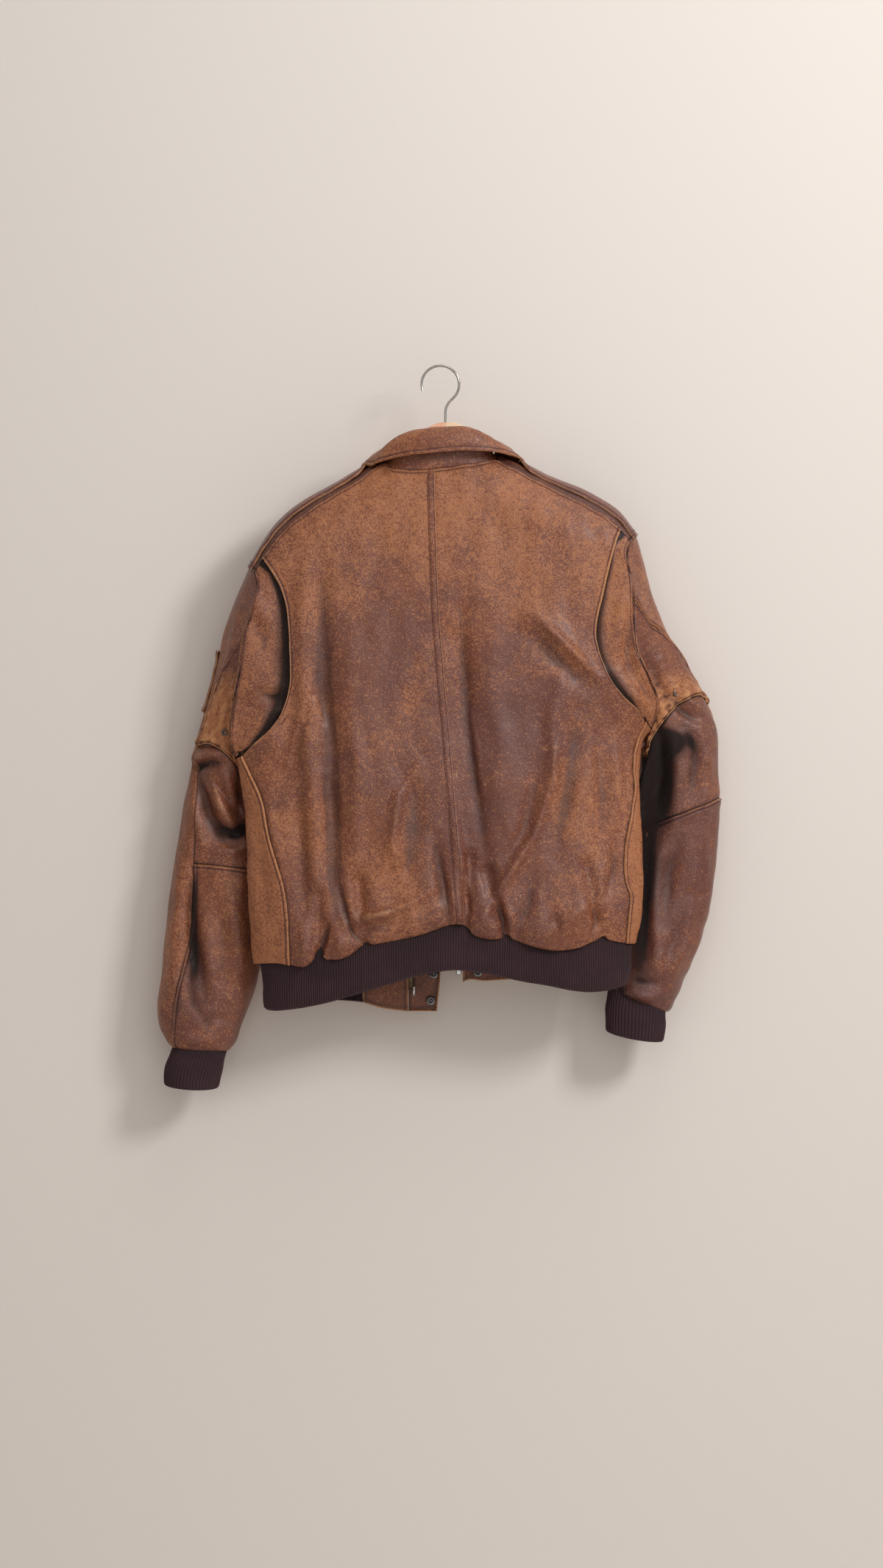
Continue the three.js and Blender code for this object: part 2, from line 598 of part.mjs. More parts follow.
// The rib cuff: an oval tube that starts inside the sleeve's rolled-in end.
const CUFFS = {
  left: { outer: [[-346, -884], [-347, -899], [-359, -912], [-362, -925], [-357, -937]],
    inner: [[-278, -888], [-279, -902], [-285, -914], [-288, -927], [-292, -942]] },
  right: { outer: [[296, -832], [296, -850], [298, -860], [297, -870], [292, -881]],
    inner: [[230, -806], [230, -821], [220, -836], [218, -851], [222, -867]] },
};
const CUFF_DEEP = [25, 25, 29, 30, 28];

function cuff({ outer, inner }) {
  const rows = outer.map((o, j) => steps(16).slice(0, -1).map((u) => {
    const a = u * 2 * Math.PI;
    const c = (1 + Math.cos(a)) / 2;
    const droop = 4 * Math.sin(a);
    const p = new THREE.Vector3(mix(inner[j][0], o[0], c), 25 - CUFF_DEEP[j] * Math.sin(a),
      mix(inner[j][1], o[1], c) - droop);
    const n = new THREE.Vector3(Math.cos(a) * Math.sign(o[0] - inner[j][0]) / 36, -Math.sin(a) / 28, 0);
    return { p, n: n.normalize() };
  }));
  return wall(rows, KNIT, true);
}

// ---------------------------------------------------------------- waistband and front ends
const bandBottomBack = through([[-240, -826], [-227, -838], [-193, -837], [-150, -829], [-108, -817],
  [-61, -803], [-29, -793], [10, -786], [31, -786], [66, -791], [107, -800], [137, -805],
  [178, -813], [207, -814], [240, -807], [250, -796]]);
const bandBottomFront = through([[-232, -836], [-170, -829], [-106, -831], [-73, -840], [-20, -845],
  [0, -844], [32, -805], [60, -804], [110, -801], [200, -800], [248, -796]]);
const WAIST_LEFT = -101;
const WAIST_RIGHT = 111;

function bandColumn(x, face, lines) {
  const top = (face < 0 ? backHem(x) : frontHem(x)) + WAISTBAND_TOP;
  const bottom = face < 0 ? bandBottomBack(x) : bandBottomFront(x);
  return lines.map((f) => {
    const z = mix(top, bottom, f);
    const l = bandLeft(z) + 0.001;
    const r = bandRight(z) - 0.001;
    return band(Math.min(r, Math.max(l, x)), z, face);
  });
}

function waistband() {
  const lines = steps(3);
  const frontLeft = [WAIST_LEFT - 0.2, -130, -160, -190, -215, -230].map((x) => [x, 1]);
  const back = [-238, -230, -215, -193, -172, -155, -135, -115, -97, -75, -50, -22, 8, 38, 62, 86, 110,
    135, 160, 185, 210, 228, 241, 249].map((x) => [x, -1]);
  const frontRight = [243, 228, 200, 170, 140, WAIST_RIGHT + 0.2].map((x) => [x, 1]);
  const columns = [...frontLeft, ...back, ...frontRight].map(([x, face]) => bandColumn(x, face, lines));
  return wall(lines.map((_, j) => columns.map((column) => column[j])), KNIT);
}

function waistEnd(from, to) {
  const lines = steps(3);
  const columns = steps(4).map((u) => bandColumn(mix(from, to, u), 1, lines));
  return wall(lines.map((_, j) => columns.map((column) => column[j])), LEATHER);
}

// The storm flap beside the left zip, from the neck to the foot of the front end.
const FLAP_EDGE = through([[-190, -2], [-500, 0], [-785, 2], [-844, -3]]);
const FRONT_Z = [-190, -250, -320, -400, -480, -560, -640, -710, -762, -776, -785, -800, -816, -844];

function frontSurface(x, z) {
  const at = onTorso(1)([x, Math.max(z, frontHem(x))]);
  at.p.z = z;
  return at;
}

function stormFlap() {
  const rows = FRONT_Z.map((z) => steps(2).map((u) => frontSurface(mix(-40, FLAP_EDGE(z), u), z)));
  return wall(rows, LEATHER);
}

// ---------------------------------------------------------------- collar
const neckLine = [
  ...SIDES.left.neckFront.slice().reverse().slice(0, -1).map((q) => ({ ...onTorso(1)(q) })),
  ...shoulderRows(SIDES.left).map((row) => row.at(-1)).reverse(),
  ...SIDES.left.neckBack.slice(1, -1).map(onTorso(-1)),
  onTorso(-1)(CENTRE_BACK[0]),
  ...SIDES.right.neckBack.slice(1, -1).reverse().map(onTorso(-1)),
  ...shoulderRows(SIDES.right).map((row) => row.at(-1)),
  ...SIDES.right.neckFront.slice(1).map(onTorso(1)),
];
const COLLAR_END = neckLine.length - 1;

// The collar's fold line and its falling edge, from the left front round the back to the right.
const FOLD_LINE = guide([[-34, 48, -146], [-57, 36, -127], [-64, 9, -108], [-56, -22, -98],
  [-42, -39, -88], [-14, -46, -82.5], [14, -47, -80.5], [42, -43, -82], [62, -27, -93],
  [73, 7, -101], [67, 36, -119], [44, 48, -142]]);
const resting = (x, z, face, lift = 3.4) => {
  const { p, n } = onTorso(face)([x, z]);
  return p.addScaledVector(n, lift).toArray();
};
const FALL_EDGE = guide([resting(-86, -228, 1), resting(-102, -186, 1), resting(-105, -152, 1),
  resting(-99, ridge(-99), 1, 5), [-89, -26, -132], [-77, -40, -128], [-48, -54, -122],
  [-21, -60, -119], [32, -60, -114], [68, -52, -112], [88, -38, -112.5],
  resting(108, ridge(108), 1, 5), resting(115, -147, 1), resting(112, -180, 1), resting(97, -220, 1)]);

function collarFall() {
  const columns = COLLAR_END + 4;
  const lines = [0, 0.12, 0.4, 0.72, 1];
  const points = lines.map((v) => steps(columns).map((u) => {
    const p = new THREE.Vector3().lerpVectors(FOLD_LINE(u), FALL_EDGE(u), v);
    const swell = 8 * Math.sin(Math.PI * v);
    const out = new THREE.Vector3(p.x - 4, p.y, 0).normalize();
    return p.addScaledVector(out, swell);
  }));
  return wall(withNormals(points, new THREE.Vector3(4, 0, -135)), 2.2);
}

// Normals of a free grid, pointing away from a middle point.
function withNormals(points, middle) {
  return points.map((row, j) => row.map((p, i) => {
    const left = row[Math.max(0, i - 1)];
    const right = row[Math.min(row.length - 1, i + 1)];
    const above = points[Math.max(0, j - 1)][i];
    const under = points[Math.min(points.length - 1, j + 1)][i];
    const n = right.clone().sub(left).cross(under.clone().sub(above)).normalize();
    if (n.dot(p.clone().sub(middle)) < 0) n.negate();
    return { p, n };
  }));
}

function collarStand() {
  const rows = [0, 0.3, 0.65, 1].map((v) => neckLine.map(({ p }, i) => {
    const foot = p.clone();
    foot.z += 1.4;
    const head = FOLD_LINE(i / COLLAR_END);
    const outBy = new THREE.Vector3(head.x - 4, head.y, 0).normalize();
    head.addScaledVector(outBy, -5);
    head.z -= 5;
    const drawn = Math.sqrt(v);
    return new THREE.Vector3(
      mix(foot.x, head.x, drawn), mix(foot.y, head.y, drawn), mix(foot.z, head.z, v));
  }));
  const grid = withNormals(rows, new THREE.Vector3(4, 0, -135));
  grid[0] = grid[0].map(({ p, n }, i) => (
    { p: p.clone(), n: n.clone().lerp(neckLine[i].n, 0.9).normalize() }));
  return wall(grid, LEATHER);
}

// ---------------------------------------------------------------- trim
// The shoulder strap lies over the shoulder piece, sewn in at the armhole, pointed at the neck.
function shoulderStrap(S) {
  const rows = shoulderRows(S);
  const columns = [0.25, 1, 2, 3, 4, 5, 5.45];
  const sample = (lane, place) => {
    const i = Math.min(rows[0].length - 2, Math.floor(place));
    const f = place - i;
    const at = (row) => ({
      p: row[i].p.clone().lerp(row[i + 1].p, f),
      n: row[i].n.clone().lerp(row[i + 1].n, f).normalize(),
    });
    const pointed = place > 5 ? mix(2, lane, 0.6) : lane;
    const j = Math.min(3, Math.floor(pointed));
    const [a, b] = [at(rows[j]), at(rows[j + 1])];
    const n = a.n.clone().lerp(b.n, pointed - j).normalize();
    const lift = STRAP + (place > 5 ? 2.2 : 0.8);
    return { p: a.p.clone().lerp(b.p, pointed - j).addScaledVector(n, lift), n };
  };
  return wall([0.5, 1, 2, 3, 3.4].map((lane) => columns.map((place) => sample(lane, place))), STRAP);
}

function disc(radius, thickness, bore) {
  const outline = bore
    ? [[bore, 0], [radius, 0], [radius, thickness * 0.5], [radius - 1, thickness],
      [bore, thickness], [bore, 0]]
    : [[0, 0], [radius, 0], [radius, thickness * 0.5], [radius - 1.2, thickness], [0, thickness]];
  const geometry = new THREE.LatheGeometry(outline.map(([x, y]) => new THREE.Vector2(x, y)), 16);
  geometry.deleteAttribute('normal');
  geometry.deleteAttribute('uv');
  return outward(mergeVertices(geometry, 1e-4));
}

function place(mesh, { p, n }, lift) {
  mesh.quaternion.setFromUnitVectors(new THREE.Vector3(0, 1, 0), n);
  mesh.position.copy(p).addScaledVector(n, lift);
  return mesh;
}

// A strip of zip chain and tape along the inside of a front edge.
function zipStrip(centreAt, top, bottom, lap, waistLap = 0) {
  const levels = [top, ...FRONT_Z.filter((z) => z < top - 4 && z > bottom + 4), bottom];
  return wall(levels.map((z) => [-1, 1].map((side) => {
    const { p, n } = frontSurface(centreAt(z) + side * 3.2, z);
    const low = z < frontHem(centreAt(z)) + 60 ? waistLap : 0;
    return { p: p.clone().addScaledVector(n, -LEATHER - lap - low), n };
  })), 1.8);
}

// A small metal block with its long edges cut off, tall along Z.
function boxed(width, height, depth) {
  const cut = 0.7;
  const [w, h] = [width / 2, height / 2];
  const shape = new THREE.Shape([[-w, -h + cut], [-w + cut, -h], [w - cut, -h], [w, -h + cut],
    [w, h - cut], [w - cut, h], [-w + cut, h], [-w, h - cut]].map(([x, y]) => new THREE.Vector2(x, y)));
  return extruded(shape, depth);
}

function extruded(shape, depth) {
  const geometry = new THREE.ExtrudeGeometry(shape, { depth, bevelEnabled: false });
  geometry.rotateX(Math.PI / 2);
  geometry.translate(0, depth / 2, 0);
  geometry.deleteAttribute('normal');
  geometry.deleteAttribute('uv');
  return outward(mergeVertices(geometry, 1e-4));
}

// The box at the foot of the right zip: a frame that the pin of the left half slides into.
function zipBox() {
  const rectangle = (Kind, w, h) => new Kind([[-w, -h], [w, -h], [w, h], [-w, h]]
    .map(([x, y]) => new THREE.Vector2(x, y)));
  const shape = rectangle(THREE.Shape, 3.4, 5);
  shape.holes.push(rectangle(THREE.Path, 1.5, 3.1));
  return extruded(shape, 2.6);
}

// The leather-edged patch on the left upper arm, laid on the sleeve.
function armPatch() {
  const V = SLEEVES.left;
  const rows = [0.16, 0.2, 0.24, 0.28].map((t) => [12, 2, -12, -28, -44, -58].map((a) => {
    const { p, n } = onSleeve(V, t, a);
    return { p: p.addScaledVector(n, 2.1 + LAP), n };
  }));
  return wall(rows, 1.4);
}

// ---------------------------------------------------------------- hanger and hook
// Half of the wooden hanger: rings of eight points, deeper from front to back at the shoulder.
function hangerHalf(side) {
  const top = through([[0, -73], [14, -74], [32, -84], [50, -103], [66, -121], [110, -146],
    [150, -166], [185, -190], [205, -207], [216, -222]]);
  const tall = through([[0, 52], [60, 42], [120, 36], [185, 34], [205, 28], [216, 20]]);
  const thick = through([[0, 7], [110, 7], [160, 10], [205, 13], [216, 8]]);
  const drop = side > 0 ? 1 : -5;
  const stations = [0.15, 14, 32, 50, 66, 88, 110, 130, 150, 170, 188, 205, 216];
  const rings = stations.map((d) => {
    const zTop = top(d) + (d > 60 ? drop : (drop * d) / 60);
    const w = thick(d);
    const h = tall(d);
    const r = Math.min(5, w * 0.6);
    const outline = [[-w, -h + r], [-w, -r], [-w + r, 0], [w - r, 0], [w, -r], [w, -h + r],
      [w - r, -h], [-w + r, -h]];
    return outline.map(([y, z]) => new THREE.Vector3(8 + side * d, y, zTop + z));
  });
  const positions = rings.flat().flatMap((p) => [p.x, p.y, p.z]);
  const n = 8;
  const index = [];
  for (let j = 0; j < rings.length - 1; j += 1) {
    for (let i = 0; i < n; i += 1) {
      const [a, b] = [j * n + i, j * n + ((i + 1) % n)];
      index.push(a, b, b + n, a, b + n, a + n);
    }
  }
  const end = (rings.length - 1) * n;
  for (let i = 1; i < n - 1; i += 1) {
    index.push(0, i + 1, i);
    index.push(end, end + i, end + i + 1);
  }
  const geometry = new THREE.BufferGeometry();
  geometry.setAttribute('position', new THREE.Float32BufferAttribute(positions, 3));
  geometry.setIndex(index);
  return outward(geometry);
}

function hook() {
  const r = HOOK_WIRE / 2;
  const bend = new THREE.Shape();
  for (let k = 0; k < 8; k += 1) {
    const a = (k / 8) * 2 * Math.PI;
    if (k === 0) bend.moveTo(r * Math.cos(a), r * Math.sin(a));
    else bend.lineTo(r * Math.cos(a), r * Math.sin(a));
  }
  bend.closePath();
  const arc = [200, 175, 150, 120, 90, 60, 30, 5, -20, -42].map((d) => (
    new THREE.Vector3(1.5 + HOOK_REACH * Math.cos(d * degrees), 0,
      r - HOOK_REACH + HOOK_REACH * Math.sin(d * degrees))));
  const path = new THREE.CatmullRomCurve3([new THREE.Vector3(-29, 0, -27), ...arc,
    new THREE.Vector3(12.5, 0, -46), new THREE.Vector3(8, 0, -56), new THREE.Vector3(8, 0, -72.5)]);
  const geometry = new THREE.ExtrudeGeometry(bend, { steps: 48, bevelEnabled: false, extrudePath: path });
  geometry.deleteAttribute('normal');
  geometry.deleteAttribute('uv');
  return outward(mergeVertices(geometry, 1e-4));
}

// ---------------------------------------------------------------- materials and assembly
const finish = (color, roughness, metalness = 0) => (
  () => new THREE.MeshStandardMaterial({ color, roughness, metalness }));
const hide = finish(0x7a4630, 0.55);
const rib = finish(0x43282c, 0.95);
const brass = finish(0x8d7a55, 0.4, 0.9);
const gunmetal = finish(0x35363a, 0.35, 0.9);
const chrome = finish(0xc9c9c9, 0.2, 1);
const wood = finish(0xe3b487, 0.5);

const jacket = new THREE.Group();
function add(name, geometry, material) {
  const mesh = new THREE.Mesh(geometry, material());
  mesh.name = name;
  jacket.add(mesh);
  return mesh;
}

for (const [name, S] of Object.entries(SIDES)) {
  const V = SLEEVES[name];
  const under = underPanels(V);
  add(`back_${name}`, backPanel(S), hide);
  add(`side_panel_${name}`, sidePanel(S), hide);
  add(`action_pleat_${name}`, pleat(S), hide);
  add(`front_${name}`, frontPanel(S), hide);
  add(`shoulder_${name}`, wall(shoulderRows(S), LEATHER), hide);
  add(`shoulder_strap_${name}`, shoulderStrap(S), hide);
  add(`sleeve_top_${name}`, topPanel(V), hide);
  add(`underarm_gusset_${name}`, under.gusset, hide);
  add(`sleeve_under_upper_${name}`, under.upper, hide);
  add(`sleeve_under_lower_${name}`, under.lower, hide);
  add(`cuff_${name}`, cuff(CUFFS[name]), rib);
}
add('back_centre_strip', centreStrip(), hide);
add('waistband', waistband(), rib);
add('waist_end_left', waistEnd(WAIST_LEFT, -40.4), hide);
add('waist_end_right', waistEnd(31, WAIST_RIGHT), hide);
add('storm_flap', stormFlap(), hide);
add('collar_fall', collarFall(), hide);
add('collar_stand', collarStand(), hide);
add('arm_patch', armPatch(), hide);

add('zip_left', zipStrip(() => -35, -194, -816, LAP), brass);
add('zip_right', zipStrip(through([[-190, 19], [-480, 25], [-784, 30]]), -190, -784, 1.4, 5.4), brass);

const eyelet = () => disc(4.8, 1.4, 2.2);
place(add('eyelet_left', eyelet(), gunmetal), onSleeve(SLEEVES.left, 0.235, 78), 1.3);
place(add('eyelet_right', eyelet(), gunmetal), onSleeve(SLEEVES.right, 0.22, 62), 1.3);
for (const [name, x, z] of [['snap_left_upper', -7, -795], ['snap_left_lower', -11, -830],
  ['snap_right', 51, -792]]) {
  const at = name === 'snap_right' ? band(x, z, 1) : frontSurface(x, z);
  const inwards = { p: at.p, n: at.n.clone().negate() };
  place(add(name, disc(6, 2.4), gunmetal), inwards, LEATHER + 1);
}

add('zip_pin', boxed(3, 12, 2.4), chrome).position.set(-33, 26.2, -817);
add('zip_box', zipBox(), chrome).position.set(25.6, 25.2, -791);

add('hanger_left', hangerHalf(-1), wood);
add('hanger_right', hangerHalf(1), wood);
add('hook', hook(), chrome);

export default jacket;
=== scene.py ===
"""A worn leather flight jacket on a wooden hanger, dressed in hide, rib knit, metal and wood.

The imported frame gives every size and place. Lengths inside the shape code are millimetres in the
frame's own axes: the jacket's back faces -Y, +X is the wearer's right, and the origin is the
inside of the top of the hanger's hook.
"""
import math

import bmesh
import bpy
import numpy as np
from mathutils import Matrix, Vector


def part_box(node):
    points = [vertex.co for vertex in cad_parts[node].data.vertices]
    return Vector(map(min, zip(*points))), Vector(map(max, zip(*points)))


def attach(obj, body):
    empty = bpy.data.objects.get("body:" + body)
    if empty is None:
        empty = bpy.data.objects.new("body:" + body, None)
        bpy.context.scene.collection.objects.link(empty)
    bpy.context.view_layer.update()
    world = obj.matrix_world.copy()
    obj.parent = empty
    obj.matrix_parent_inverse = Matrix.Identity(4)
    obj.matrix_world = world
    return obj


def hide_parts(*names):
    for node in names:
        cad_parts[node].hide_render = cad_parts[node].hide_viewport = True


bl_info = {
    "name": "Leather Flight Jacket",
    "version": (1, 0, 0),
    "blender": (4, 5, 0),
    "location": "View3D > Sidebar > Jacket",
    "description": "Builds the hide, knit, metal and wood of a worn flight jacket on its hanger",
    "category": "Object",
}

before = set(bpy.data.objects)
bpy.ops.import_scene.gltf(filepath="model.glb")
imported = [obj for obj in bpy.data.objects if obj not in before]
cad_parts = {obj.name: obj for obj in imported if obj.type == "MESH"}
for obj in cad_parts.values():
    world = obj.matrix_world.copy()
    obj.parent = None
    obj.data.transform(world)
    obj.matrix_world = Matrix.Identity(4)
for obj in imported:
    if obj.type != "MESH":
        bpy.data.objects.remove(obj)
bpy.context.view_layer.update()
MM = 0.001

# ---------------------------------------------------------------- the cut of the jacket
HIDE = 1.7             # wall of the hide
KNIT = 2.6             # wall of the rib knit
SHOULDER_ROUND = 70    # how far below the shoulder ridge the torso reaches its full depth
HEM_ROUND = 26         # height over which the blouson rolls in to the waistband
BACK_TUCK = 0.84
FRONT_TUCK = 0.96
SHOULDER_LAP = 22
YOKE_FRONT = 25
WAISTBAND_TOP = 8
BAND_BACK = 42
BAND_FRONT = 51
STITCH_INSET = 4.6     # from a turned edge to its row of stitches
STITCH_PITCH = 3.3
RIB_PITCH = 3.3
STITCH_END = 2.5       # a row of stitches stops this far from the end of its edge
MASK_TOP = 1.5         # the most that a painted mask may hold
SLEEVE_RUN = 640       # about the length of a sleeve
ARC = 1.15             # about the length of one degree round a sleeve
RING_STEP = 15         # degrees between the points of an armhole
SENSOR = 36.0          # width of the camera's film, in real millimetres
BACK_PLANE = -0.04     # Y of the jacket's back, in metres, where frame_height is measured
WORLD_LIGHT = 0.44


def smooth_table(*pairs):
    """A smooth function of a number, through a few (key, value) pairs."""
    keys, values = np.array(sorted(pairs), float).T
    before = np.r_[0, np.arange(len(keys) - 1)]
    after = np.r_[np.arange(1, len(keys)), len(keys) - 1]
    slope = (values[after] - values[before]) / (keys[after] - keys[before])

    def at(key):
        key = np.clip(np.asarray(key, float), keys[0], keys[-1])
        i = np.clip(np.searchsorted(keys, key, side="right") - 1, 0, len(keys) - 2)
        span = keys[i + 1] - keys[i]
        t = (key - keys[i]) / span
        bend = t * t * (3 - 2 * t)
        lift = t * (1 - t) ** 2 * span * slope[i] - t * t * (1 - t) * span * slope[i + 1]
        return values[i] + (values[i + 1] - values[i]) * bend + lift

    return at


def mix(a, b, t):
    return a + (b - a) * t


def within(value):
    """A value held between 0 and 1."""
    return np.clip(value, 0, 1)


def bump(value, centre, width):
    return np.exp(-(((value - centre) / width) ** 2))


def unit(v):
    return v / np.maximum(np.linalg.norm(v, axis=-1, keepdims=True), 1e-9)


def smooth_curve(points, places):
    """Points of a smooth curve through the given ones, at places from 0 to 1."""
    points = np.asarray(points, float)
    last = len(points) - 1
    place = within(np.asarray(places, float)) * last
    i = np.clip(place.astype(int), 0, last - 1)
    w = (place - i)[..., None]
    ends = np.vstack([2 * points[:1] - points[1:2], points, 2 * points[-1:] - points[-2:-1]])
    before, start, end, after = (ends[i + k] for k in range(4))
    leave, arrive = (end - before) / 2, (after - start) / 2
    return (((2 * start - 2 * end + leave + arrive) * w + 3 * (end - start) - 2 * leave - arrive)
            * w + leave) * w + start


def run_of(points):
    """How far along a line of points each one is."""
    return np.r_[0, np.cumsum(np.linalg.norm(np.diff(points, axis=0), axis=1))]


def follow(points, fractions):
    """Points along a smooth curve, at fractions of its length."""
    fine = np.linspace(0, 1, 60 * len(points))
    dense = smooth_curve(points, fine)
    run = run_of(dense)
    return smooth_curve(points, np.interp(np.asarray(fractions) * run[-1], run, fine))


def length_of(points):
    dense = smooth_curve(points, np.linspace(0, 1, 60 * len(points)))
    return np.linalg.norm(np.diff(dense, axis=0), axis=1).sum()


# ---------------------------------------------------------------- the torso
ridge = smooth_table(
    (-300, -345), (-249, -263), (-236, -243), (-225, -224), (-212, -206), (-190, -187),
    (-162, -168), (-128, -150), (-95, -132), (-70, -116), (-40, -106), (0, -103), (40, -103),
    (75, -114), (113, -131), (157, -150), (199, -168), (230, -187), (246, -206), (258, -222),
    (300, -290))
side_left = smooth_table(
    (-100, -306), (-470, -304), (-496, -286), (-514, -266), (-530, -261), (-558, -256),
    (-600, -252), (-652, -251), (-700, -249), (-744, -246), (-790, -242), (-850, -240))
side_right = smooth_table(
    (-100, 312), (-425, 312), (-452, 298), (-474, 277), (-492, 266), (-534, 261), (-570, 262),
    (-620, 265), (-680, 266), (-717, 264), (-752, 256), (-850, 250))
fold_y = smooth_table((-100, 0), (-440, 0), (-480, -4), (-520, -12), (-560, -20), (-850, -22))
back_depth = smooth_table(
    (-100, 50), (-250, 56), (-400, 59), (-480, 57), (-520, 52), (-560, 46), (-650, 49),
    (-720, 55), (-850, 54))
front_depth = smooth_table((-100, 44), (-250, 47), (-440, 48), (-520, 56), (-560, 60), (-850, 57))
back_hem = smooth_table(
    (-245, -779), (-211, -778), (-176, -781), (-161, -772), (-155, -763), (-149, -771),
    (-122, -769), (-103, -757), (-97, -748), (-90, -752), (-51, -745), (-18, -737), (13, -726),
    (33, -726), (42, -737), (62, -744), (80, -743), (86, -738), (94, -744), (131, -757),
    (159, -760), (183, -756), (205, -746), (210, -740), (216, -746), (244, -752), (262, -753))
front_hem = smooth_table(
    (-245, -779), (-170, -782), (-100, -785), (-40, -785), (10, -765), (31, -747), (110, -748),
    (180, -750), (244, -752), (262, -753))

# A fold is a line of (x, z) points, its half width, and its depth: a trough is over 0, a ridge
# under 0. The first five shape the whole back; the rest are what years of wear have left in it.
BACK_FOLDS = (
    (((-205, -300), (-178, -700)), 20, 6), (((18, -360), (44, -690)), 20, 5),
    (((-110, -380), (-60, -620)), 34, -5), (((122, -330), (252, -440)), 20, -5),
    (((150, -330), (190, -700)), 30, -4), (((-155, -690), (-155, -764)), 9, 9),
    (((-104, -670), (-97, -750)), 9, 9), (((60, -660), (86, -740)), 10, 9),
    (((38, -640), (38, -728)), 9, 7), (((190, -650), (210, -742)), 9, 8),
)
BACK_CREASES = (
    (((-152, -290), (-150, -420), (-140, -560), (-133, -735)), 13, 6.5),
    (((-182, -330), (-172, -460), (-160, -600), (-158, -700)), 12, -3.2),
    (((-188, -508), (-172, -446), (-166, -430)), 6, 3.6),
    (((-166, -428), (-150, -470), (-146, -530)), 7, -3.4),
    (((-196, -520), (-180, -470), (-172, -440)), 5, -3),
    (((-118, -420), (-104, -520), (-108, -640)), 12, -3.4),
    (((-56, -520), (-30, -560), (-36, -640), (-60, -690)), 13, 3.2),
    (((-24, -520), (-52, -560), (-60, -620), (-48, -668)), 7, -3.6),
    (((-118, -722), (-84, -716), (-40, -700), (-8, -680)), 6, -4),
    (((-120, -738), (-84, -732), (-46, -716)), 5, 2.6),
    (((-6, -610), (2, -660), (6, -712)), 8, 4.5),
    (((14, -540), (26, -640), (44, -716)), 7, -3),
    (((28, -320), (34, -430), (48, -560), (64, -660)), 9, 4.2),
    (((40, -450), (48, -500), (56, -560)), 4, -2.2),
    (((60, -300), (70, -420), (86, -560), (92, -650)), 18, -3),
    (((128, -330), (160, -362), (206, -408)), 6, -3.8),
    (((118, -352), (150, -384), (190, -420)), 12, 4),
    (((160, -400), (146, -470), (150, -540)), 10, -3),
    (((180, -450), (170, -540), (150, -640)), 12, 3.6),
    (((150, -500), (146, -545), (122, -612), (86, -668), (56, -716)), 6, -3.6),
    (((128, -520), (112, -600), (76, -660)), 9, 3.2),
    (((100, -735), (116, -700), (120, -660)), 8, 3.6),
    (((140, -742), (170, -716), (196, -700)), 9, -3.2),
    (((206, -480), (212, -560), (208, -640)), 9, 2.6),
    (((226, -480), (232, -540), (226, -600)), 6, -2.2),
    (((216, -690), (226, -660), (228, -610)), 6, 3),
    (((-224, -560), (-216, -600), (-206, -650)), 6, -1.8),
    (((-236, -610), (-226, -680), (-220, -740)), 8, 2.4),
    (((-184, -560), (-176, -640), (-172, -720)), 8, 2.6),
    (((-80, -180), (-70, -240), (-78, -300)), 22, 1.6),
    (((60, -180), (92, -230), (100, -300)), 24, 1.8),
    (((170, -230), (190, -290), (186, -340)), 14, -1.8),
    (((-170, -240), (-176, -300), (-160, -350)), 14, -1.8),
    # the pinches at the hem, with the hide puffed out between them
    (((-157, -778), (-153, -754), (-145, -726)), 4, 5),
    (((-95, -752), (-107, -742), (-117, -721), (-129, -680)), 4.5, 5),
    (((-108, -736), (-103, -723), (-88, -713), (-72, -712), (-57, -718)), 4.5, -3.2),
    (((13, -730), (12, -700), (6, -664)), 4, 4), (((34, -728), (37, -700), (30, -660)), 4, 3.4),
    (((84, -748), (82, -722), (76, -700)), 4, 4), (((93, -742), (92, -716), (82, -690)), 5, -2.6),
    (((-176, -784), (-172, -760), (-176, -730)), 7, -3),
    (((-134, -776), (-128, -756), (-132, -730)), 8, -3),
    (((198, -742), (204, -722), (196, -696)), 4, 3.6),
    (((150, -752), (152, -730), (146, -710)), 5, 3),
    (((124, -750), (130, -728), (138, -712)), 8, -2.6),
)
PLEAT_CREASES = (
    (((-245, -436), (-222, -418), (-204, -416)), 4.5, -3.4),
    (((-240, -446), (-222, -430), (-206, -432)), 4, 3),
    (((-226, -470), (-216, -452), (-206, -446)), 4, -3.2),
    (((-236, -478), (-230, -456), (-238, -440)), 5, -2.6),
    (((-222, -486), (-220, -470), (-212, -458)), 3.4, 2.8),
    (((-246, -330), (-226, -360), (-216, -400)), 8, 2.2),
    (((-236, -300), (-226, -330), (-214, -360)), 6, -1.8),
    (((238, -290), (232, -340), (230, -380)), 7, -2), (((248, -330), (244, -380), (252, -420)), 7, 2.2),
    (((232, -400), (250, -426), (270, -446)), 6, -2.4), (((256, -400), (268, -426), (276, -444)), 4, 2),
)
FRONT_CREASES = (
    (((-190, -300), (-176, -460), (-160, -640), (-150, -770)), 16, 5),
    (((-140, -260), (-120, -420), (-112, -600)), 20, -4),
    (((-90, -300), (-84, -460), (-92, -620), (-80, -760)), 14, 3.6),
    (((-214, -480), (-190, -540), (-196, -640)), 10, -3.4),
    (((-60, -700), (-100, -740), (-150, -752)), 8, -3),
    (((-170, -700), (-172, -776)), 8, 5), (((-120, -690), (-116, -780)), 8, 5),
    (((180, -300), (170, -440), (156, -620), (160, -744)), 16, 5),
    (((120, -260), (112, -420), (104, -600)), 20, -4),
    (((62, -320), (74, -460), (64, -640), (70, -742)), 13, 3.6),
    (((214, -460), (196, -540), (200, -640)), 10, -3.4),
    (((50, -700), (100, -716), (150, -722)), 8, -3),
    (((120, -660), (124, -742)), 8, 5), (((190, -660), (196, -746)), 8, 5),
)


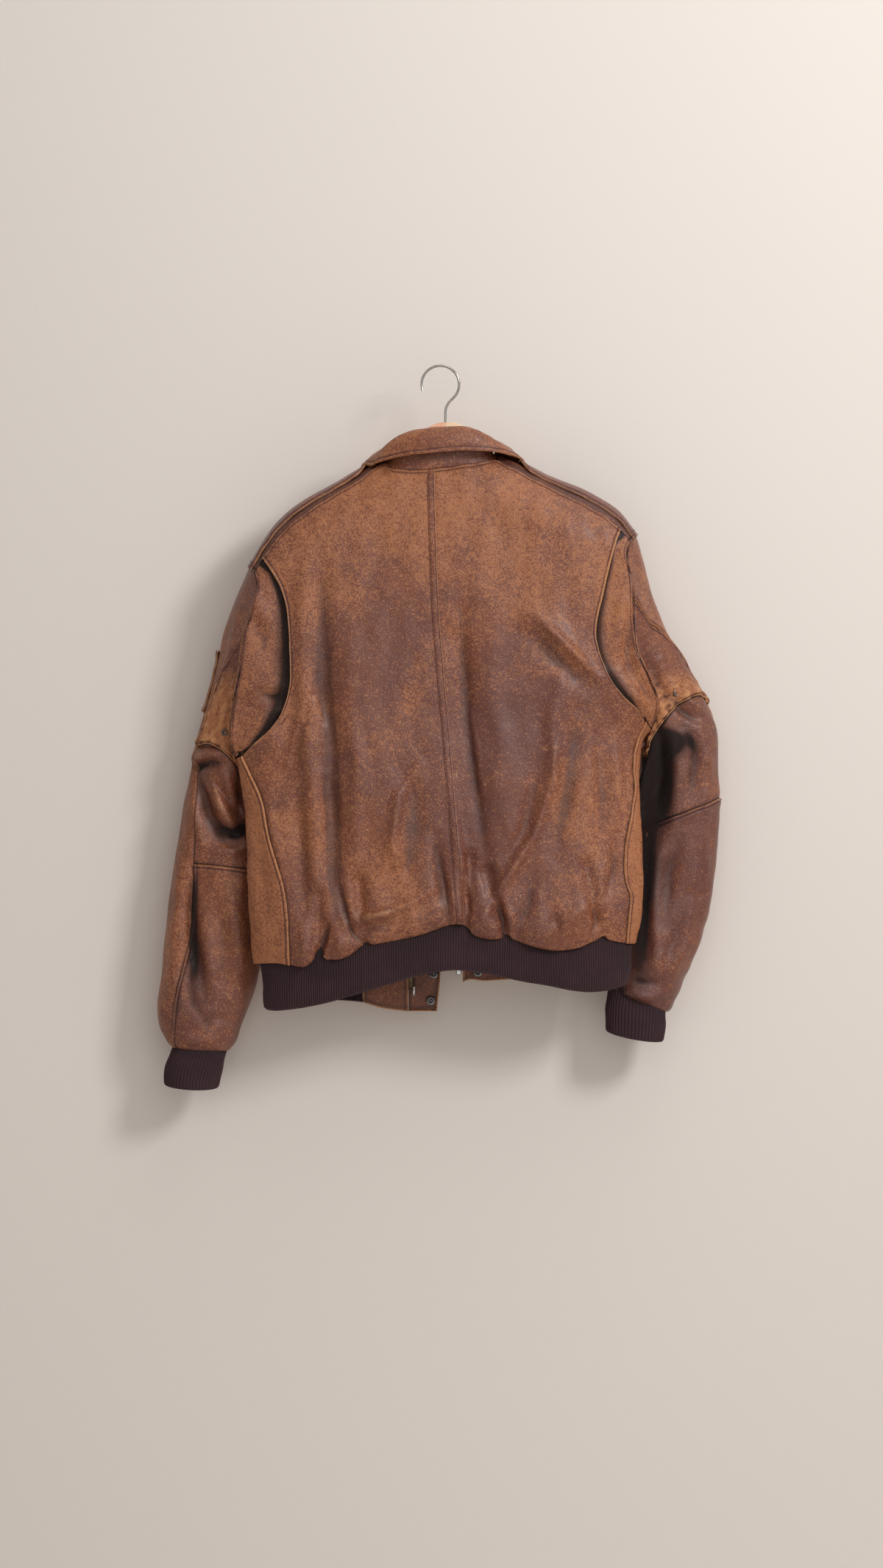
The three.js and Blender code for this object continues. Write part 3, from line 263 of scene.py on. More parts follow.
def crease_depth(folds, x, z, tapered=True):
    """How far a set of folds moves each point inwards."""
    total = np.zeros(np.broadcast(x, z).shape)
    for line, width, depth in folds:
        line = np.array(line, float)
        pieces = np.linalg.norm(np.diff(line, axis=0), axis=1)
        run = np.r_[0, np.cumsum(pieces)]
        nearest = np.full(total.shape, 1e9)
        place = np.zeros(total.shape)
        for k, ((ax, az), (bx, bz)) in enumerate(zip(line[:-1], line[1:])):
            dx, dz = bx - ax, bz - az
            t = within(((x - ax) * dx + (z - az) * dz) / (dx * dx + dz * dz))
            away = np.hypot(x - ax - t * dx, z - az - t * dz)
            closer = away < nearest
            nearest = np.where(closer, away, nearest)
            place = np.where(closer, (run[k] + t * pieces[k]) / run[-1], place)
        fade = np.sqrt(within(np.sin(np.pi * np.clip(place, 0.06, 0.94)))) if tapered else 1
        total = total + depth * np.exp(-((nearest / width) ** 2)) * fade
    return total


def ripple(x, y, size, seed):
    """Soft seeded waves about a size apart, from -1 to 1."""
    dice = np.random.default_rng(seed)
    total = np.zeros(np.broadcast(x, y).shape)
    warp = np.sin(x / size * 1.3 + seed) + np.cos(y / size * 1.1 - seed)
    for _ in range(7):
        angle = dice.uniform(0, 2 * np.pi)
        scale = 2 * np.pi / (size * dice.uniform(0.7, 1.7))
        total += np.sin((x * np.cos(angle) + y * np.sin(angle)) * scale
                        + dice.uniform(0, 6.3) + 0.7 * warp)
    return total / 4.2


def fullness(x, z, face):
    left, right = side_left(z), side_right(z)
    across = within(np.abs((2 * x - left - right) / (right - left)))
    below = 1 - within((ridge(x) - z) / SHOULDER_ROUND)
    tuck = BACK_TUCK if face < 0 else FRONT_TUCK
    hem = back_hem(x) if face < 0 else front_hem(x)
    roll = 1 - within((z - hem) / HEM_ROUND)
    return (1 - across ** 3) * (1 - below * below) * (1 - (1 - tuck * tuck) * roll * roll)


def torso(x, z, face):
    """Points of the torso's outer surface: face -1 is the back, +1 the front."""
    x, z = np.broadcast_arrays(np.asarray(x, float), np.asarray(z, float))
    full = np.sqrt(within(fullness(x, z, face)))
    depth = back_depth(z) if face < 0 else front_depth(z)
    crease = 0
    if face < 0:
        free = within((z - back_hem(x)) / HEM_ROUND)
        crease = crease_depth(BACK_FOLDS, x, z, tapered=False) * full * free
    return np.stack([x, fold_y(z) + face * depth * full + crease, z], -1)


def torso_normal(x, z, face):
    """Outward normals of the torso's plain form."""
    x, z = np.broadcast_arrays(np.asarray(x, float), np.asarray(z, float))
    full = np.sqrt(within(fullness(x, z, face)))
    depth = back_depth(z) if face < 0 else front_depth(z)
    h = 0.5
    return unit(np.stack([
        -(fullness(x + h, z, face) - fullness(x - h, z, face)) / (2 * h),
        2 * face * full / depth,
        -(fullness(x, z + h, face) - fullness(x, z - h, face)) / (2 * h)], -1))


CENTRE_BACK = ((-11, -138), (-8, -240), (-4, -332), (3, -420), (9, -485), (19, -614), (28, -725.9))


class Half:
    """One side of the torso: the seam lines of its panels, as (x, z) points."""

    def __init__(self, name, **lines):
        self.name = name
        self.__dict__.update(lines)
        x = np.array(self.shoulder_x, float)
        share = np.arange(7) / 6
        self.sign = -1 if name == "left" else 1
        self.shoulder_seam = np.stack([x, ridge(x) - mix(SHOULDER_LAP, 11, share)], 1)
        neck = np.array(self.neck_back, float)
        neck[0] = self.shoulder_seam[-1]
        self.neck_back = neck
        self.back_top = np.vstack([self.shoulder_seam[:-1], neck])
        action = np.array(self.action_edge, float)
        action[0] = self.shoulder_seam[0]
        self.action_edge = action
        side_back = np.array(self.side_back_seam, float)
        side_back[-1] = (self.hem_inner, back_hem(self.hem_inner))
        self.side_back_seam = side_back
        self.outer_back = np.vstack([action, side_back[1:]])
        z = np.linspace(self.underarm_z, self.hem_z, 24)
        self.side_fold = np.stack([self.side(z), z], 1)
        self.armhole_back = np.array(self.armhole_back, float)
        self.armhole_front = np.array(self.armhole_front, float)
        share = np.arange(6) / 6
        yoke = np.stack([x[:-1], ridge(x[:-1]) - mix(YOKE_FRONT, 20, share)], 1)
        self.front_shoulder = np.vstack([self.armhole_front[:1], yoke, [self.neck_front[0]]])
        self.front_top = np.vstack([self.front_shoulder[:-1], self.neck_front])


LEFT = Half(
    "left", tip=(-249, -263), shoulder_x=(-229, -205, -180, -155, -128, -100, -73),
    neck_back=((-73, -129), (-62, -136), (-42, -138), (-11, -138)),
    neck_front=((-73, -136), (-66, -160), (-44, -184), (-40.4, -190)),
    action_edge=((-229, -252), (-207, -289), (-197, -326), (-194, -372), (-194, -415),
                 (-203, -449), (-219, -475), (-256, -509)),
    side_back_seam=((-256, -509), (-249, -524), (-233, -556), (-226, -579), (-219, -616),
                    (-201, -677), (-195, -720), (-193, -780)),
    armhole_back=((-240, -271), (-237, -290), (-247, -326), (-256, -353), (-262, -398),
                  (-269, -437), (-273, -480), (-272, -500), (-264.5, -513)),
    armhole_front=((-241, -274), (-229, -300), (-224, -345), (-226, -400), (-238, -455),
                   (-256, -495), (-264.5, -513)),
    underarm_z=-513, hem_z=-779, side=side_left, hem_inner=-193,
    front_edge=((-40.4, -190), (-40.4, -500), (-40.4, -785)))
RIGHT = Half(
    "right", tip=(258, -222), shoulder_x=(236, 212, 186, 160, 132, 104, 75),
    neck_back=((75, -123.5), (62, -126), (40, -130), (-11, -138)),
    neck_front=((75, -131), (68, -156), (46, -180), (17, -187)),
    action_edge=((236, -213), (226, -245), (213, -298), (204, -340), (206, -369), (220, -406),
                 (239, -432), (268, -464)),
    side_back_seam=((268, -464), (254, -500), (252, -526), (254, -545), (250, -575), (240, -630),
                    (240, -668), (247, -690), (245, -716), (242, -752)),
    armhole_back=((248, -232), (243, -249), (251, -275), (253, -326), (260, -374), (277, -409),
                  (286, -436), (284, -458), (275.5, -474.5)),
    armhole_front=((249, -236), (238, -262), (232, -305), (234, -360), (247, -415), (266, -455),
                   (275.5, -474.5)),
    underarm_z=-474.5, hem_z=-752.5, side=side_right, hem_inner=242,
    front_edge=((17, -187), (23, -480), (31, -747)))
HALVES = (LEFT, RIGHT)

# ---------------------------------------------------------------- sheets of hide
EDGE_STEPS = (0, 0.7, 1.5, 2.5, 3.6, 4.6, 5.8, 7.6, 10.5, 14.5)


def spread(length, step):
    """Fractions of a length, close together at both ends, where the seams are."""
    ends = [d for d in EDGE_STEPS if d < length * 0.4]
    count = max(2, int(round((length - 2 * ends[-1]) / step)))
    middle = np.linspace(ends[-1], length - ends[-1], count + 1)
    tail = [length - d for d in reversed(ends[:-1])]
    return np.array([*ends[:-1], *middle, *tail]) / length


def coons(top, bottom, left, right, step):
    """Fills a four-sided outline with a grid of (x, z) points about a step apart."""
    u = spread((length_of(top) + length_of(bottom)) / 2, step)
    v = spread((length_of(left) + length_of(right)) / 2, step)
    t, b = follow(top, u)[None], follow(bottom, u)[None]
    le, r = follow(left, v)[:, None], follow(right, v)[:, None]
    u, v = u[None, :, None], v[:, None, None]
    return (mix(le, r, u) + mix(t, b, v)
            - mix(mix(t[:, :1], t[:, -1:], u), mix(b[:, :1], b[:, -1:], u), v))


def grid_normals(points, towards=None, closed=False):
    """Normals of a grid of points. They face away from a middle, or along a given direction."""
    if closed:
        around = np.roll(points, -1, 1) - np.roll(points, 1, 1)
    else:
        around = np.gradient(points, axis=1)
    down = np.gradient(points, axis=0)
    n = unit(np.cross(around, down))
    if towards is not None and (n * towards).sum() < 0:
        n = -n
    return n


def runs(points, axis):
    """Distance along the grid's rows or columns from each end."""
    step = np.linalg.norm(np.diff(points, axis=axis), axis=-1)
    zero = np.zeros_like(np.take(step, [0], axis=axis))
    first = np.concatenate([zero, np.cumsum(step, axis=axis)], axis=axis)
    return first, np.take(first, [-1], axis=axis) - first


class Cloth:
    """A grid of points with its normals, its worn places, its dirt and painted shade, and the rows of
    stitches in it.
    """

    def __init__(self, points, normals, closed=False):
        self.points, self.normals, self.closed = points, normals, closed
        shape = points.shape[:2]
        self.rub, self.soil = np.zeros(shape), np.zeros(shape)
        self.tan, self.pebble = np.zeros(shape), np.zeros(shape)
        self.stitches = []
        left, right = runs(points, 1)
        top, bottom = runs(points, 0)
        self.away = {"left": left, "right": right, "top": top, "bottom": bottom}

    def push(self, distance):
        """Moves the points outwards."""
        self.points = self.points + self.normals * np.asarray(distance)[..., None]

    def crease(self, folds, x=None, z=None, share=1.0, mark=1.0):
        """Lays folds in, rubbed pale along the ridges, with painted shade down in the troughs."""
        x = self.points[..., 0] if x is None else x
        z = self.points[..., 2] if z is None else z
        depth = crease_depth(folds, x, z) * share
        self.push(-depth)
        self.rub = self.rub + mark * np.clip(-depth - 3.2, 0, 4) * 0.11
        self.soil = self.soil + mark * np.clip(depth - 0.8, 0, 4.5) * 0.15

    def seam(self, side, kind="turned", weight=1.0, inset=STITCH_INSET, second=None, worn=0.5):
        """Shapes an edge. A turned edge is folded under and stitched down, darker in its stitch grooves,
        and stands over its neighbour; an under edge drops below it, into painted shade; a plain one is only
        rolled."""
        d = self.away[side]
        weight = np.asarray(weight, float)
        along = self.away["top"] if side in ("left", "right") else self.away["left"]
        pucker = 0.35 * np.sin(along / 4.6 + 1.7 * np.sin(along / 31)) * np.exp(-d / 9)
        if kind == "turned":
            rise = (1.15 * within(1 - d / 13) + 0.55 * bump(d, 2.4, 1.5)
                    - 0.95 * bump(d, inset, 0.9) + 0.3 * bump(d, inset + 3, 2) + pucker
                    - 2.4 * within(1 - d / 1.4) ** 2)
            self.rub = np.maximum(self.rub, weight * (worn * np.exp(-((d / (0.7 + 1.8 * worn)) ** 2))
                                                      + 0.22 * np.exp(-d / 9)))
            self.soil = np.maximum(self.soil, weight * 0.85 * bump(d, inset, 1.3))
        elif kind == "under":
            rise = -0.9 * np.exp(-((d / 4) ** 2)) + pucker * 0.7
            # Painted shade where the edge drops under its neighbour.
            self.soil = np.maximum(self.soil, weight * 0.95 * np.exp(-((d / 2.6) ** 2)))
        else:
            rise = -1.6 * within(1 - d / 1.6) ** 2
            self.rub = np.maximum(self.rub, weight * 0.5 * np.exp(-((d / 1.6) ** 2)))
        if second:
            rise = rise - 0.9 * bump(d, second, 0.9)
            self.soil = np.maximum(self.soil, weight * 0.7 * bump(d, second, 1.2))
        self.push(rise * weight)
        rows = [row for row in (inset if kind == "turned" else None, second) if row]
        keep = np.broadcast_to(weight, d.shape)
        self.stitches += [(side, row, keep) for row in rows]

    def edges(self, **kinds):
        """Shapes several edges, in the order they are given."""
        for side, kind in kinds.items():
            self.seam(side, kind)

    def stitch_lines(self):
        """The rows of stitches as lines of points with normals, on the finished surface."""
        lines = []
        for side, inset, keep in self.stitches:
            d = self.away[side]
            if side in ("top", "bottom"):
                d, keep = d.T, keep.T
                points, normals = self.points.swapaxes(0, 1), self.normals.swapaxes(0, 1)
            else:
                points, normals = self.points, self.normals
            if side in ("right", "bottom"):
                d, keep, points, normals = d[:, ::-1], keep[:, ::-1], points[:, ::-1], normals[:, ::-1]
            at = [[np.interp(inset, row, axis) for row, axis in zip(d, block.swapaxes(1, 2)[:, k])]
                  for block in (points, normals) for k in range(3)]
            at = np.array(at).T
            shown = keep[:, 0] > 0.5
            if shown.sum() > 3:
                lines.append((at[shown, :3], at[shown, 3:]))
        return lines


def back_normals(points, face):
    """Outward normals of a part of the torso."""
    guess = torso_normal(points[..., 0], points[..., 2], face)
    n = grid_normals(points)
    flip = np.sign((n * guess).sum(-1, keepdims=True))
    return n * np.where(flip == 0, 1, flip)


def torso_cloth(grid, face):
    x, z = grid[..., 0], grid[..., 1]
    points = torso(x, z, face)
    return Cloth(points, back_normals(points, face))


def soft_waves(cloth, seed, size=46, height=0.8):
    p = cloth.points
    wave = ripple(p[..., 0] * 1.25, p[..., 2] * 0.8, size, seed)
    fine = ripple(p[..., 0] + p[..., 1], p[..., 2], size / 3.1, seed + 1)
    cloth.push(height * wave + 0.22 * fine)


def back_panel(half):
    centre = follow(CENTRE_BACK, np.linspace(0, 1, 24))
    hem_x = np.linspace(half.hem_inner, CENTRE_BACK[-1][0], 30)
    hem = np.stack([hem_x, back_hem(hem_x)], 1)
    cloth = torso_cloth(coons(half.back_top, hem, half.outer_back, centre, 3.2), -1)
    rows = np.linspace(0, 1, len(cloth.points))[:, None]
    share = length_of(half.action_edge) / length_of(half.outer_back)
    down = runs(cloth.points, 0)[0][:, :1]
    folded = within((share - down / down[-1:]) * 30)
    soft_waves(cloth, 3)
    cloth.crease(BACK_CREASES, share=1.6, mark=1.15)
    gathers(cloth, cloth.away["bottom"], cloth.points[..., 0], 1.5)
    cloth.seam("left", "turned", folded, worn=1.1)
    cloth.seam("left", "under", 1 - folded)
    cloth.seam("top", "turned", worn=0.3)
    cloth.edges(right="under", bottom="plain")
    x, z = cloth.points[..., 0], cloth.points[..., 2]
    # Tone of the back: paler along the top; less tan, so more plum, in a band left of the centre, which
    # paints the sheen that lies there; more plum and darker in two patches right of the centre.
    cloth.tan += (0.45 + 0.3 * bump(rows, 0, 0.22) - 0.2 * bump(x, -50, 75) * bump(z, -390, 160)
                  - 0.4 * bump(x, 100, 60) * bump(z, -440, 110) - 0.3 * bump(x, 60, 60) * bump(z, -620, 100))
    return cloth


def gathers(cloth, d, x, amount=1.0):
    """Where hide is eased on to the rib it stands in small folds, and puffs out between them; painted shade
    darkens the pinches and the join.
    """
    phase = x / 9.5 + 1.6 * np.sin(x / 37) + 0.9 * np.sin(x / 17 + 1)
    small = np.sin(phase) * 0.9 + 0.5 * np.sin(phase * 1.9 + 1)
    cloth.push(amount * small * np.exp(-d / 16) * np.clip(d / 5, 0.25, 1))
    cloth.rub = cloth.rub + 0.12 * within(small) * np.exp(-d / 20)
    cloth.soil = cloth.soil + 0.25 * np.exp(-d / 4) + 0.12 * within(-small) * np.exp(-d / 18)


def front_panel(half):
    fold = half.side_fold.copy()
    outer = np.vstack([half.armhole_front[:-1] + [[-half.sign * 5 * (j / 6) ** 4, 0]
                                                  for j in range(len(half.armhole_front) - 1)],
                       fold[1:]])
    edge = follow(half.front_edge, np.linspace(0, 1, 20))
    hem_x = np.linspace(fold[-1, 0], edge[-1, 0], 30)
    hem = np.stack([hem_x, front_hem(hem_x)], 1)
    cloth = torso_cloth(coons(half.front_top, hem, outer, edge, 5.5), 1)
    soft_waves(cloth, 8)
    cloth.crease(FRONT_CREASES)
    gathers(cloth, cloth.away["bottom"], cloth.points[..., 0])
    cloth.seam("left", "under")
    cloth.seam("right", "turned", inset=5)
    cloth.edges(top="turned", bottom="plain")
    cloth.tan += 0.25
    return cloth


def side_panel(half):
    seam = half.side_back_seam.copy()
    fold = half.side_fold.copy()
    top = np.stack([np.linspace(seam[0, 0], fold[0, 0], 4), np.linspace(seam[0, 1], fold[0, 1], 4)], 1)
    hem_x = np.linspace(seam[-1, 0], fold[-1, 0], 8)
    hem = np.stack([hem_x, back_hem(hem_x)], 1)
    hem[0], hem[-1] = seam[-1], fold[-1]
    cloth = torso_cloth(coons(top, hem, seam, fold, 4.5), -1)
    soft_waves(cloth, 12)
    cloth.crease(BACK_CREASES, share=1.6, mark=1.15)
    gathers(cloth, cloth.away["bottom"], cloth.points[..., 0], 0.9)
    cloth.edges(left="turned", right="plain", bottom="plain")
    cloth.tan += 0.9
    return cloth


def action_pleat(half):
    """The pleat behind each arm sinks below the back panel's edge and meets the armhole."""
    inward = -half.sign
    u = np.linspace(0, 1, 22)
    edge = follow(half.action_edge, u)
    hidden = edge.copy()
    hidden[:, 0] += inward * 22 * np.sin(np.pi * within(u * 0.82 + 0.08)) ** 0.7
    arm = follow(half.armhole_back, u)
    hidden[0] = edge[0] + [half.sign * 1.5, -1.5]
    hidden[-1] = edge[-1] + [half.sign * 2.5, 3.5]
    arm[-1] += [0, 3]
    top = np.stack([np.linspace(hidden[0, 0], arm[0, 0], 5), np.linspace(hidden[0, 1], arm[0, 1], 5)], 1)
    low = np.stack([np.linspace(hidden[-1, 0], arm[-1, 0], 5),
                    np.linspace(hidden[-1, 1], arm[-1, 1], 5)], 1)
    cloth = torso_cloth(coons(top, low, hidden, arm, 3), -1)
    across = runs(cloth.points, 1)[0]
    across = across / across[:, -1:]
    down = np.linspace(0, 1, len(cloth.points))[:, None]
    cloth.push(-6 * (1 - across ** 2) * within(down * 8))
    soft_waves(cloth, 21, 30, 1.1)
    cloth.crease(PLEAT_CREASES, share=2.3, mark=1.1)
    # Painted shade: near black where the pleat runs in under the back panel's edge.
    cloth.soil += 1.3 * np.exp(-(within(across - 0.32) / 0.11) ** 2)
    cloth.seam("right", "turned", second=1.8)
    cloth.tan += 0.7
    return cloth


def shoulder_cloth(half, step=4.0):
    """The shoulder piece runs over the ridge, from its seam behind to its seam in front."""
    back = np.vstack([half.armhole_back[:1], half.shoulder_seam])
    front = half.front_shoulder
    crest = np.array([half.tip[0], *half.shoulder_x[:-1], -75.5 if half.sign < 0 else 79], float)
    u = spread(length_of(back), step)
    k = np.linspace(0, 1, 400)
    run = run_of(smooth_curve(back, k))
    share = np.interp(u * run[-1], run, k)
    back, front = smooth_curve(back, share), smooth_curve(front, share)
    crest = smooth_curve(crest[:, None], share)[:, 0]
    halves = []
    for edge, face, lanes in ((back, -1, np.linspace(0, 1, 12)), (front, 1, np.linspace(1, 0, 12)[1:])):
        w = 1 - (1 - lanes[:, None]) ** 1.7
        x = mix(edge[None, :, 0], crest[None], w)
        z = mix(edge[None, :, 1], ridge(crest)[None], w)
        halves.append(torso(x, z, face))
    points = np.vstack(halves)
    outward = unit(points - np.array([0, 0, -330]))
    return Cloth(points, grid_normals(points, outward))


def shoulder_piece(half):
    cloth = shoulder_cloth(half)
    cloth.push(0.3)
    cloth.edges(top="under", bottom="under", left="turned")
    cloth.tan += 0.25
    cloth.soil += 0.15
    # Painted shadow along the lines where the strap's edges lie over the piece.
    lane = np.linspace(0, 1, len(cloth.points))[:, None]
    cloth.soil += 0.9 * (bump(lane, 0.12, 0.06) + bump(lane, 0.87, 0.06))
    return cloth


def shoulder_strap(half):
    """The strap over each shoulder, sewn in at the armhole and pointed towards the neck."""
    base = shoulder_cloth(half, 3.2)
    run = runs(base.points, 1)[0]
    reach = run[:, -1].mean() * (0.885 if half.sign > 0 else 0.93)
    wide = np.linspace(0.13, 0.86, 19)
    u = spread(reach, 3.4) * reach
    points = np.zeros((len(wide), len(u), 3))
    normals = np.zeros_like(points)
    for i, d in enumerate(u):
        taper = within((d - reach + 24) / 24)
        for row, lane in enumerate(mix(wide, 0.5, 0.62 * taper ** 1.3)):
            j = min(21, int(lane * 22))
            f = lane * 22 - j
            for store, source in ((points, base.points), (normals, base.normals)):
                pair = [[np.interp(d, run[n], source[n, :, k]) for k in range(3)] for n in (j, j + 1)]
                store[row, i] = mix(np.array(pair[0]), np.array(pair[1]), f)
    cloth = Cloth(points, unit(normals))
    lift = (1.4 + 1.2 * within(cloth.away["left"] / 22)
            + 1.6 * within((cloth.away["left"] - reach + 40) / 30))
    cloth.push(lift + 0.5 * np.sin(cloth.away["left"] / 13))
    for side in ("top", "bottom"):
        cloth.seam(side, "turned", inset=3.4)
    cloth.seam("right", "turned", inset=3.4)
    cloth.seam("left", "turned", second=9)
    cloth.tan += 0.2
    return cloth


def centre_strip():
    """The lap down the centre of the back, stitched along both its edges."""
    v = spread(length_of(CENTRE_BACK), 3.4)
    centre = follow(CENTRE_BACK, v)
    across = np.array([-4.9, -4.4, -3.6, -2.8, -1.8, -0.6, 0.6, 1.8, 2.8, 3.6, 4.4, 4.9])
    x = centre[:, :1] + across[None]
    z = np.repeat(centre[:, 1:], len(across), 1)
    points = torso(x, z, -1)
    cloth = Cloth(points, back_normals(points, -1))
    soft_waves(cloth, 3)
    cloth.crease(BACK_CREASES, mark=0.6)
    a = across[None]
    rise = 1.5 + 0.5 * within(a / 5) - 2.6 * within((np.abs(a) - 4.2) / 0.7) ** 2
    rise = rise - 0.55 * bump(np.abs(a), 3.1, 0.7) + 0.18 * np.sin(cloth.away["top"] / 4)
    cloth.push(rise)
    cloth.rub = cloth.rub + 0.75 * bump(a, 4.4, 0.8) + 0.35 * bump(a, -4.4, 0.8) + 0 * x
    cloth.soil = cloth.soil + 0.4 * bump(np.abs(a), 3.1, 0.6) + 0 * x
    cloth.tan += 0.3
    cloth.stitches = [("left", 1.8, np.ones(x.shape)), ("right", 1.8, np.ones(x.shape))]
    return cloth


# ---------------------------------------------------------------- sleeves
# Stations run from the armhole (0) to the cuff (1). outer and inner are the sleeve's two folds as
# it hangs, hind_seam and the fore seam are angles round it: 0 the outer fold, 90 the back.
FORE_SEAM = 210
MIDDLE = (0, 22, 30, 32, 32, 31, 30, 28, 27, 26)
deep = smooth_table(*[(i / 9, d) for i, d in enumerate((40, 42, 42, 40, 38, 38, 38, 38, 37, 30))])


class Sleeve:
    def __init__(self, half, outer, inner, hind_seam, gusset, elbow, fold, creases, hollows):
        self.half, self.gusset, self.elbow = half, gusset, elbow
        self.fold, self.creases, self.hollows = fold, creases, hollows
        self.hind_seam = smooth_table(*hind_seam)
        stations = [np.array([(x, y, z) for (x, z), y in zip(line, MIDDLE)], float)
                    for line in (outer, inner)]
        self.outer, self.inner = stations
        rings = []
        for edge, face in ((half.armhole_back, -1), (half.armhole_front, 1)):
            low = follow(edge, np.linspace(0, 1, 11))
            tip = np.array([half.tip[0], ridge(half.tip[0])])
            between = mix(low[0], tip, 0.62)
            rings.append(torso(*np.vstack([tip, between, low]).T, face))
        self.ring = np.vstack([rings[0], rings[1][1:-1][::-1]])

    def shade(self, x, z):
        """How much painted shade lies in the hollows listed for the sleeve: the gap between it and the body,
        and a seam's trough on the left sleeve.
        """
        total = np.zeros(x.shape)
        for px, pz, wide, tall, share in self.hollows:
            total += share * bump(x, px, wide) * bump(z, pz, tall)
        return total.clip(0, 1)

    def oval(self, t, angle):
        a = np.radians(angle)
        share = ((1 + np.cos(a)) / 2)[..., None]
        p = mix(smooth_curve(self.inner, t), smooth_curve(self.outer, t), share)
        sunk = self.fold(t, np.mod(angle, 360)) * np.clip(np.sin(a), 0, None)
        p[..., 1] -= deep(t) * np.sin(a) - sunk
        return p

    def armhole(self, angle):
        wrapped = np.vstack([self.ring[-2:], self.ring, self.ring[:3]])
        place = (np.mod(angle, 360) / RING_STEP + 2) / (len(wrapped) - 1)
        return smooth_curve(wrapped, place)

    def at(self, t, angle):
        t, angle = np.broadcast_arrays(np.asarray(t, float), np.asarray(angle, float))
        p = self.oval(t, angle)
        away = within(1 - t / 0.3)[..., None]
        pull = self.armhole(angle) - self.oval(np.zeros_like(t), angle)
        return p + pull * away * away

    def cloth(self, t, angle):
        points = self.at(t, angle)
        h = 0.004
        along = self.at(within(t + h), angle) - self.at(within(t - h), angle)
        around = self.at(t, angle + 2) - self.at(t, angle - 2)
        n = unit(np.cross(along, around))
        middle = (smooth_curve(self.outer, t) + smooth_curve(self.inner, t)) / 2
        if ((points - middle) * n).sum() < 0:
            n = -n
        made = Cloth(points, n)
        made.t, made.angle = t, angle
        return made


LEFT_SLEEVE_CREASES = (
    (((-240, -300), (-252, -360), (-268, -420)), 9, 2.4),
    (((-262, -320), (-272, -370), (-286, -430)), 6, -1.8),
    (((-332, -512), (-308, -508), (-284, -504)), 5, -6),
    (((-334, -524), (-306, -519), (-282, -516)), 4, 6.5),
    (((-322, -497), (-300, -495), (-288, -497)), 3, 2.4),
    (((-280, -500), (-272, -520), (-262, -548)), 6, -4),
    (((-318, -530), (-304, -580), (-284, -622)), 9, 7),
    (((-300, -530), (-288, -570), (-272, -600)), 7, -5.5),
    (((-288, -600), (-266, -612), (-246, -596)), 8, 6),
    (((-300, -628), (-270, -634), (-240, -618)), 7, -5),
    (((-322, -540), (-318, -590), (-306, -640)), 6, -3),
    (((-262, -530), (-258, -560), (-262, -590)), 6, 4),
    (((-321, -652), (-324, -712), (-318, -770), (-305, -829)), 9, 6.5),
    (((-308, -690), (-306, -750), (-294, -810)), 9, -3.6),
    (((-288, -690), (-282, -760), (-286, -830)), 10, 3),
    (((-268, -700), (-258, -780), (-266, -850)), 9, -2.6),
    (((-340, -650), (-346, -740), (-354, -820)), 8, -2),
    (((-330, -780), (-322, -830), (-300, -862)), 7, 3),
    (((-310, -866), (-296, -850), (-276, -852)), 6, 3),
    (((-340, -872), (-318, -880), (-290, -880)), 5, -2),
    (((-244, -660), (-252, -700), (-246, -740)), 7, 2.6),
)
RIGHT_SLEEVE_CREASES = (
    (((264, -260), (284, -320), (318, -400)), 8, 2),
    (((290, -340), (318, -390), (340, -440)), 7, -2.4),
    (((262, -360), (284, -410), (300, -450)), 7, 3.4),
    (((300, -430), (318, -450), (338, -462)), 6, 5),
    (((306, -418), (326, -436), (346, -452)), 4, -3.2),
    (((322, -470), (336, -500), (330, -560)), 8, 4.4),
    (((338, -470), (352, -520), (346, -590)), 7, -3),
    (((300, -470), (312, -520), (306, -590)), 7, -3.4),
    (((286, -470), (292, -520), (286, -580)), 6, 4),
    (((352, -560), (340, -640), (330, -700)), 9, -2.4),
    (((318, -600), (300, -660), (296, -730)), 11, 4),
    (((272, -620), (268, -700), (270, -770)), 10, 3.6),
    (((338, -620), (344, -680), (330, -740)), 8, 2.2),
    (((286, -640), (280, -720), (286, -790)), 9, -3),
    (((336, -700), (322, -752), (300, -800)), 8, -3),
    (((320, -690), (308, -750), (290, -792)), 8, 3),
    (((300, -796), (280, -806), (250, -800)), 6, 2.6),
    (((302, -816), (276, -824), (246, -816)), 5, -2.4),
    (((356, -600), (360, -650), (352, -690)), 6, 2),
)


def left_fold(t, a):
    return (20 * bump(t, 0.2, 0.2) * bump(a, 145, 40) + 9 * bump(t, 0.66, 0.16) * bump(a, 70, 16)
            + 5 * bump(t, 0.5, 0.03) * bump(a, 110, 40) - 5 * bump(t, 0.31, 0.03) * bump(a, 60, 60)
            + 7 * bump(t, 0.37, 0.025) * bump(a, 60, 60))


def right_fold(t, a):
    return (26 * bump(t, 0.38, 0.14) * bump(a, 128, 34) + 8 * bump(t, 0.12, 0.16) * bump(a, 140, 45)
            + 5 * bump(t, 0.62, 0.05) * bump(a, 95, 30) - 4 * bump(t, 0.84, 0.05) * bump(a, 75, 35))


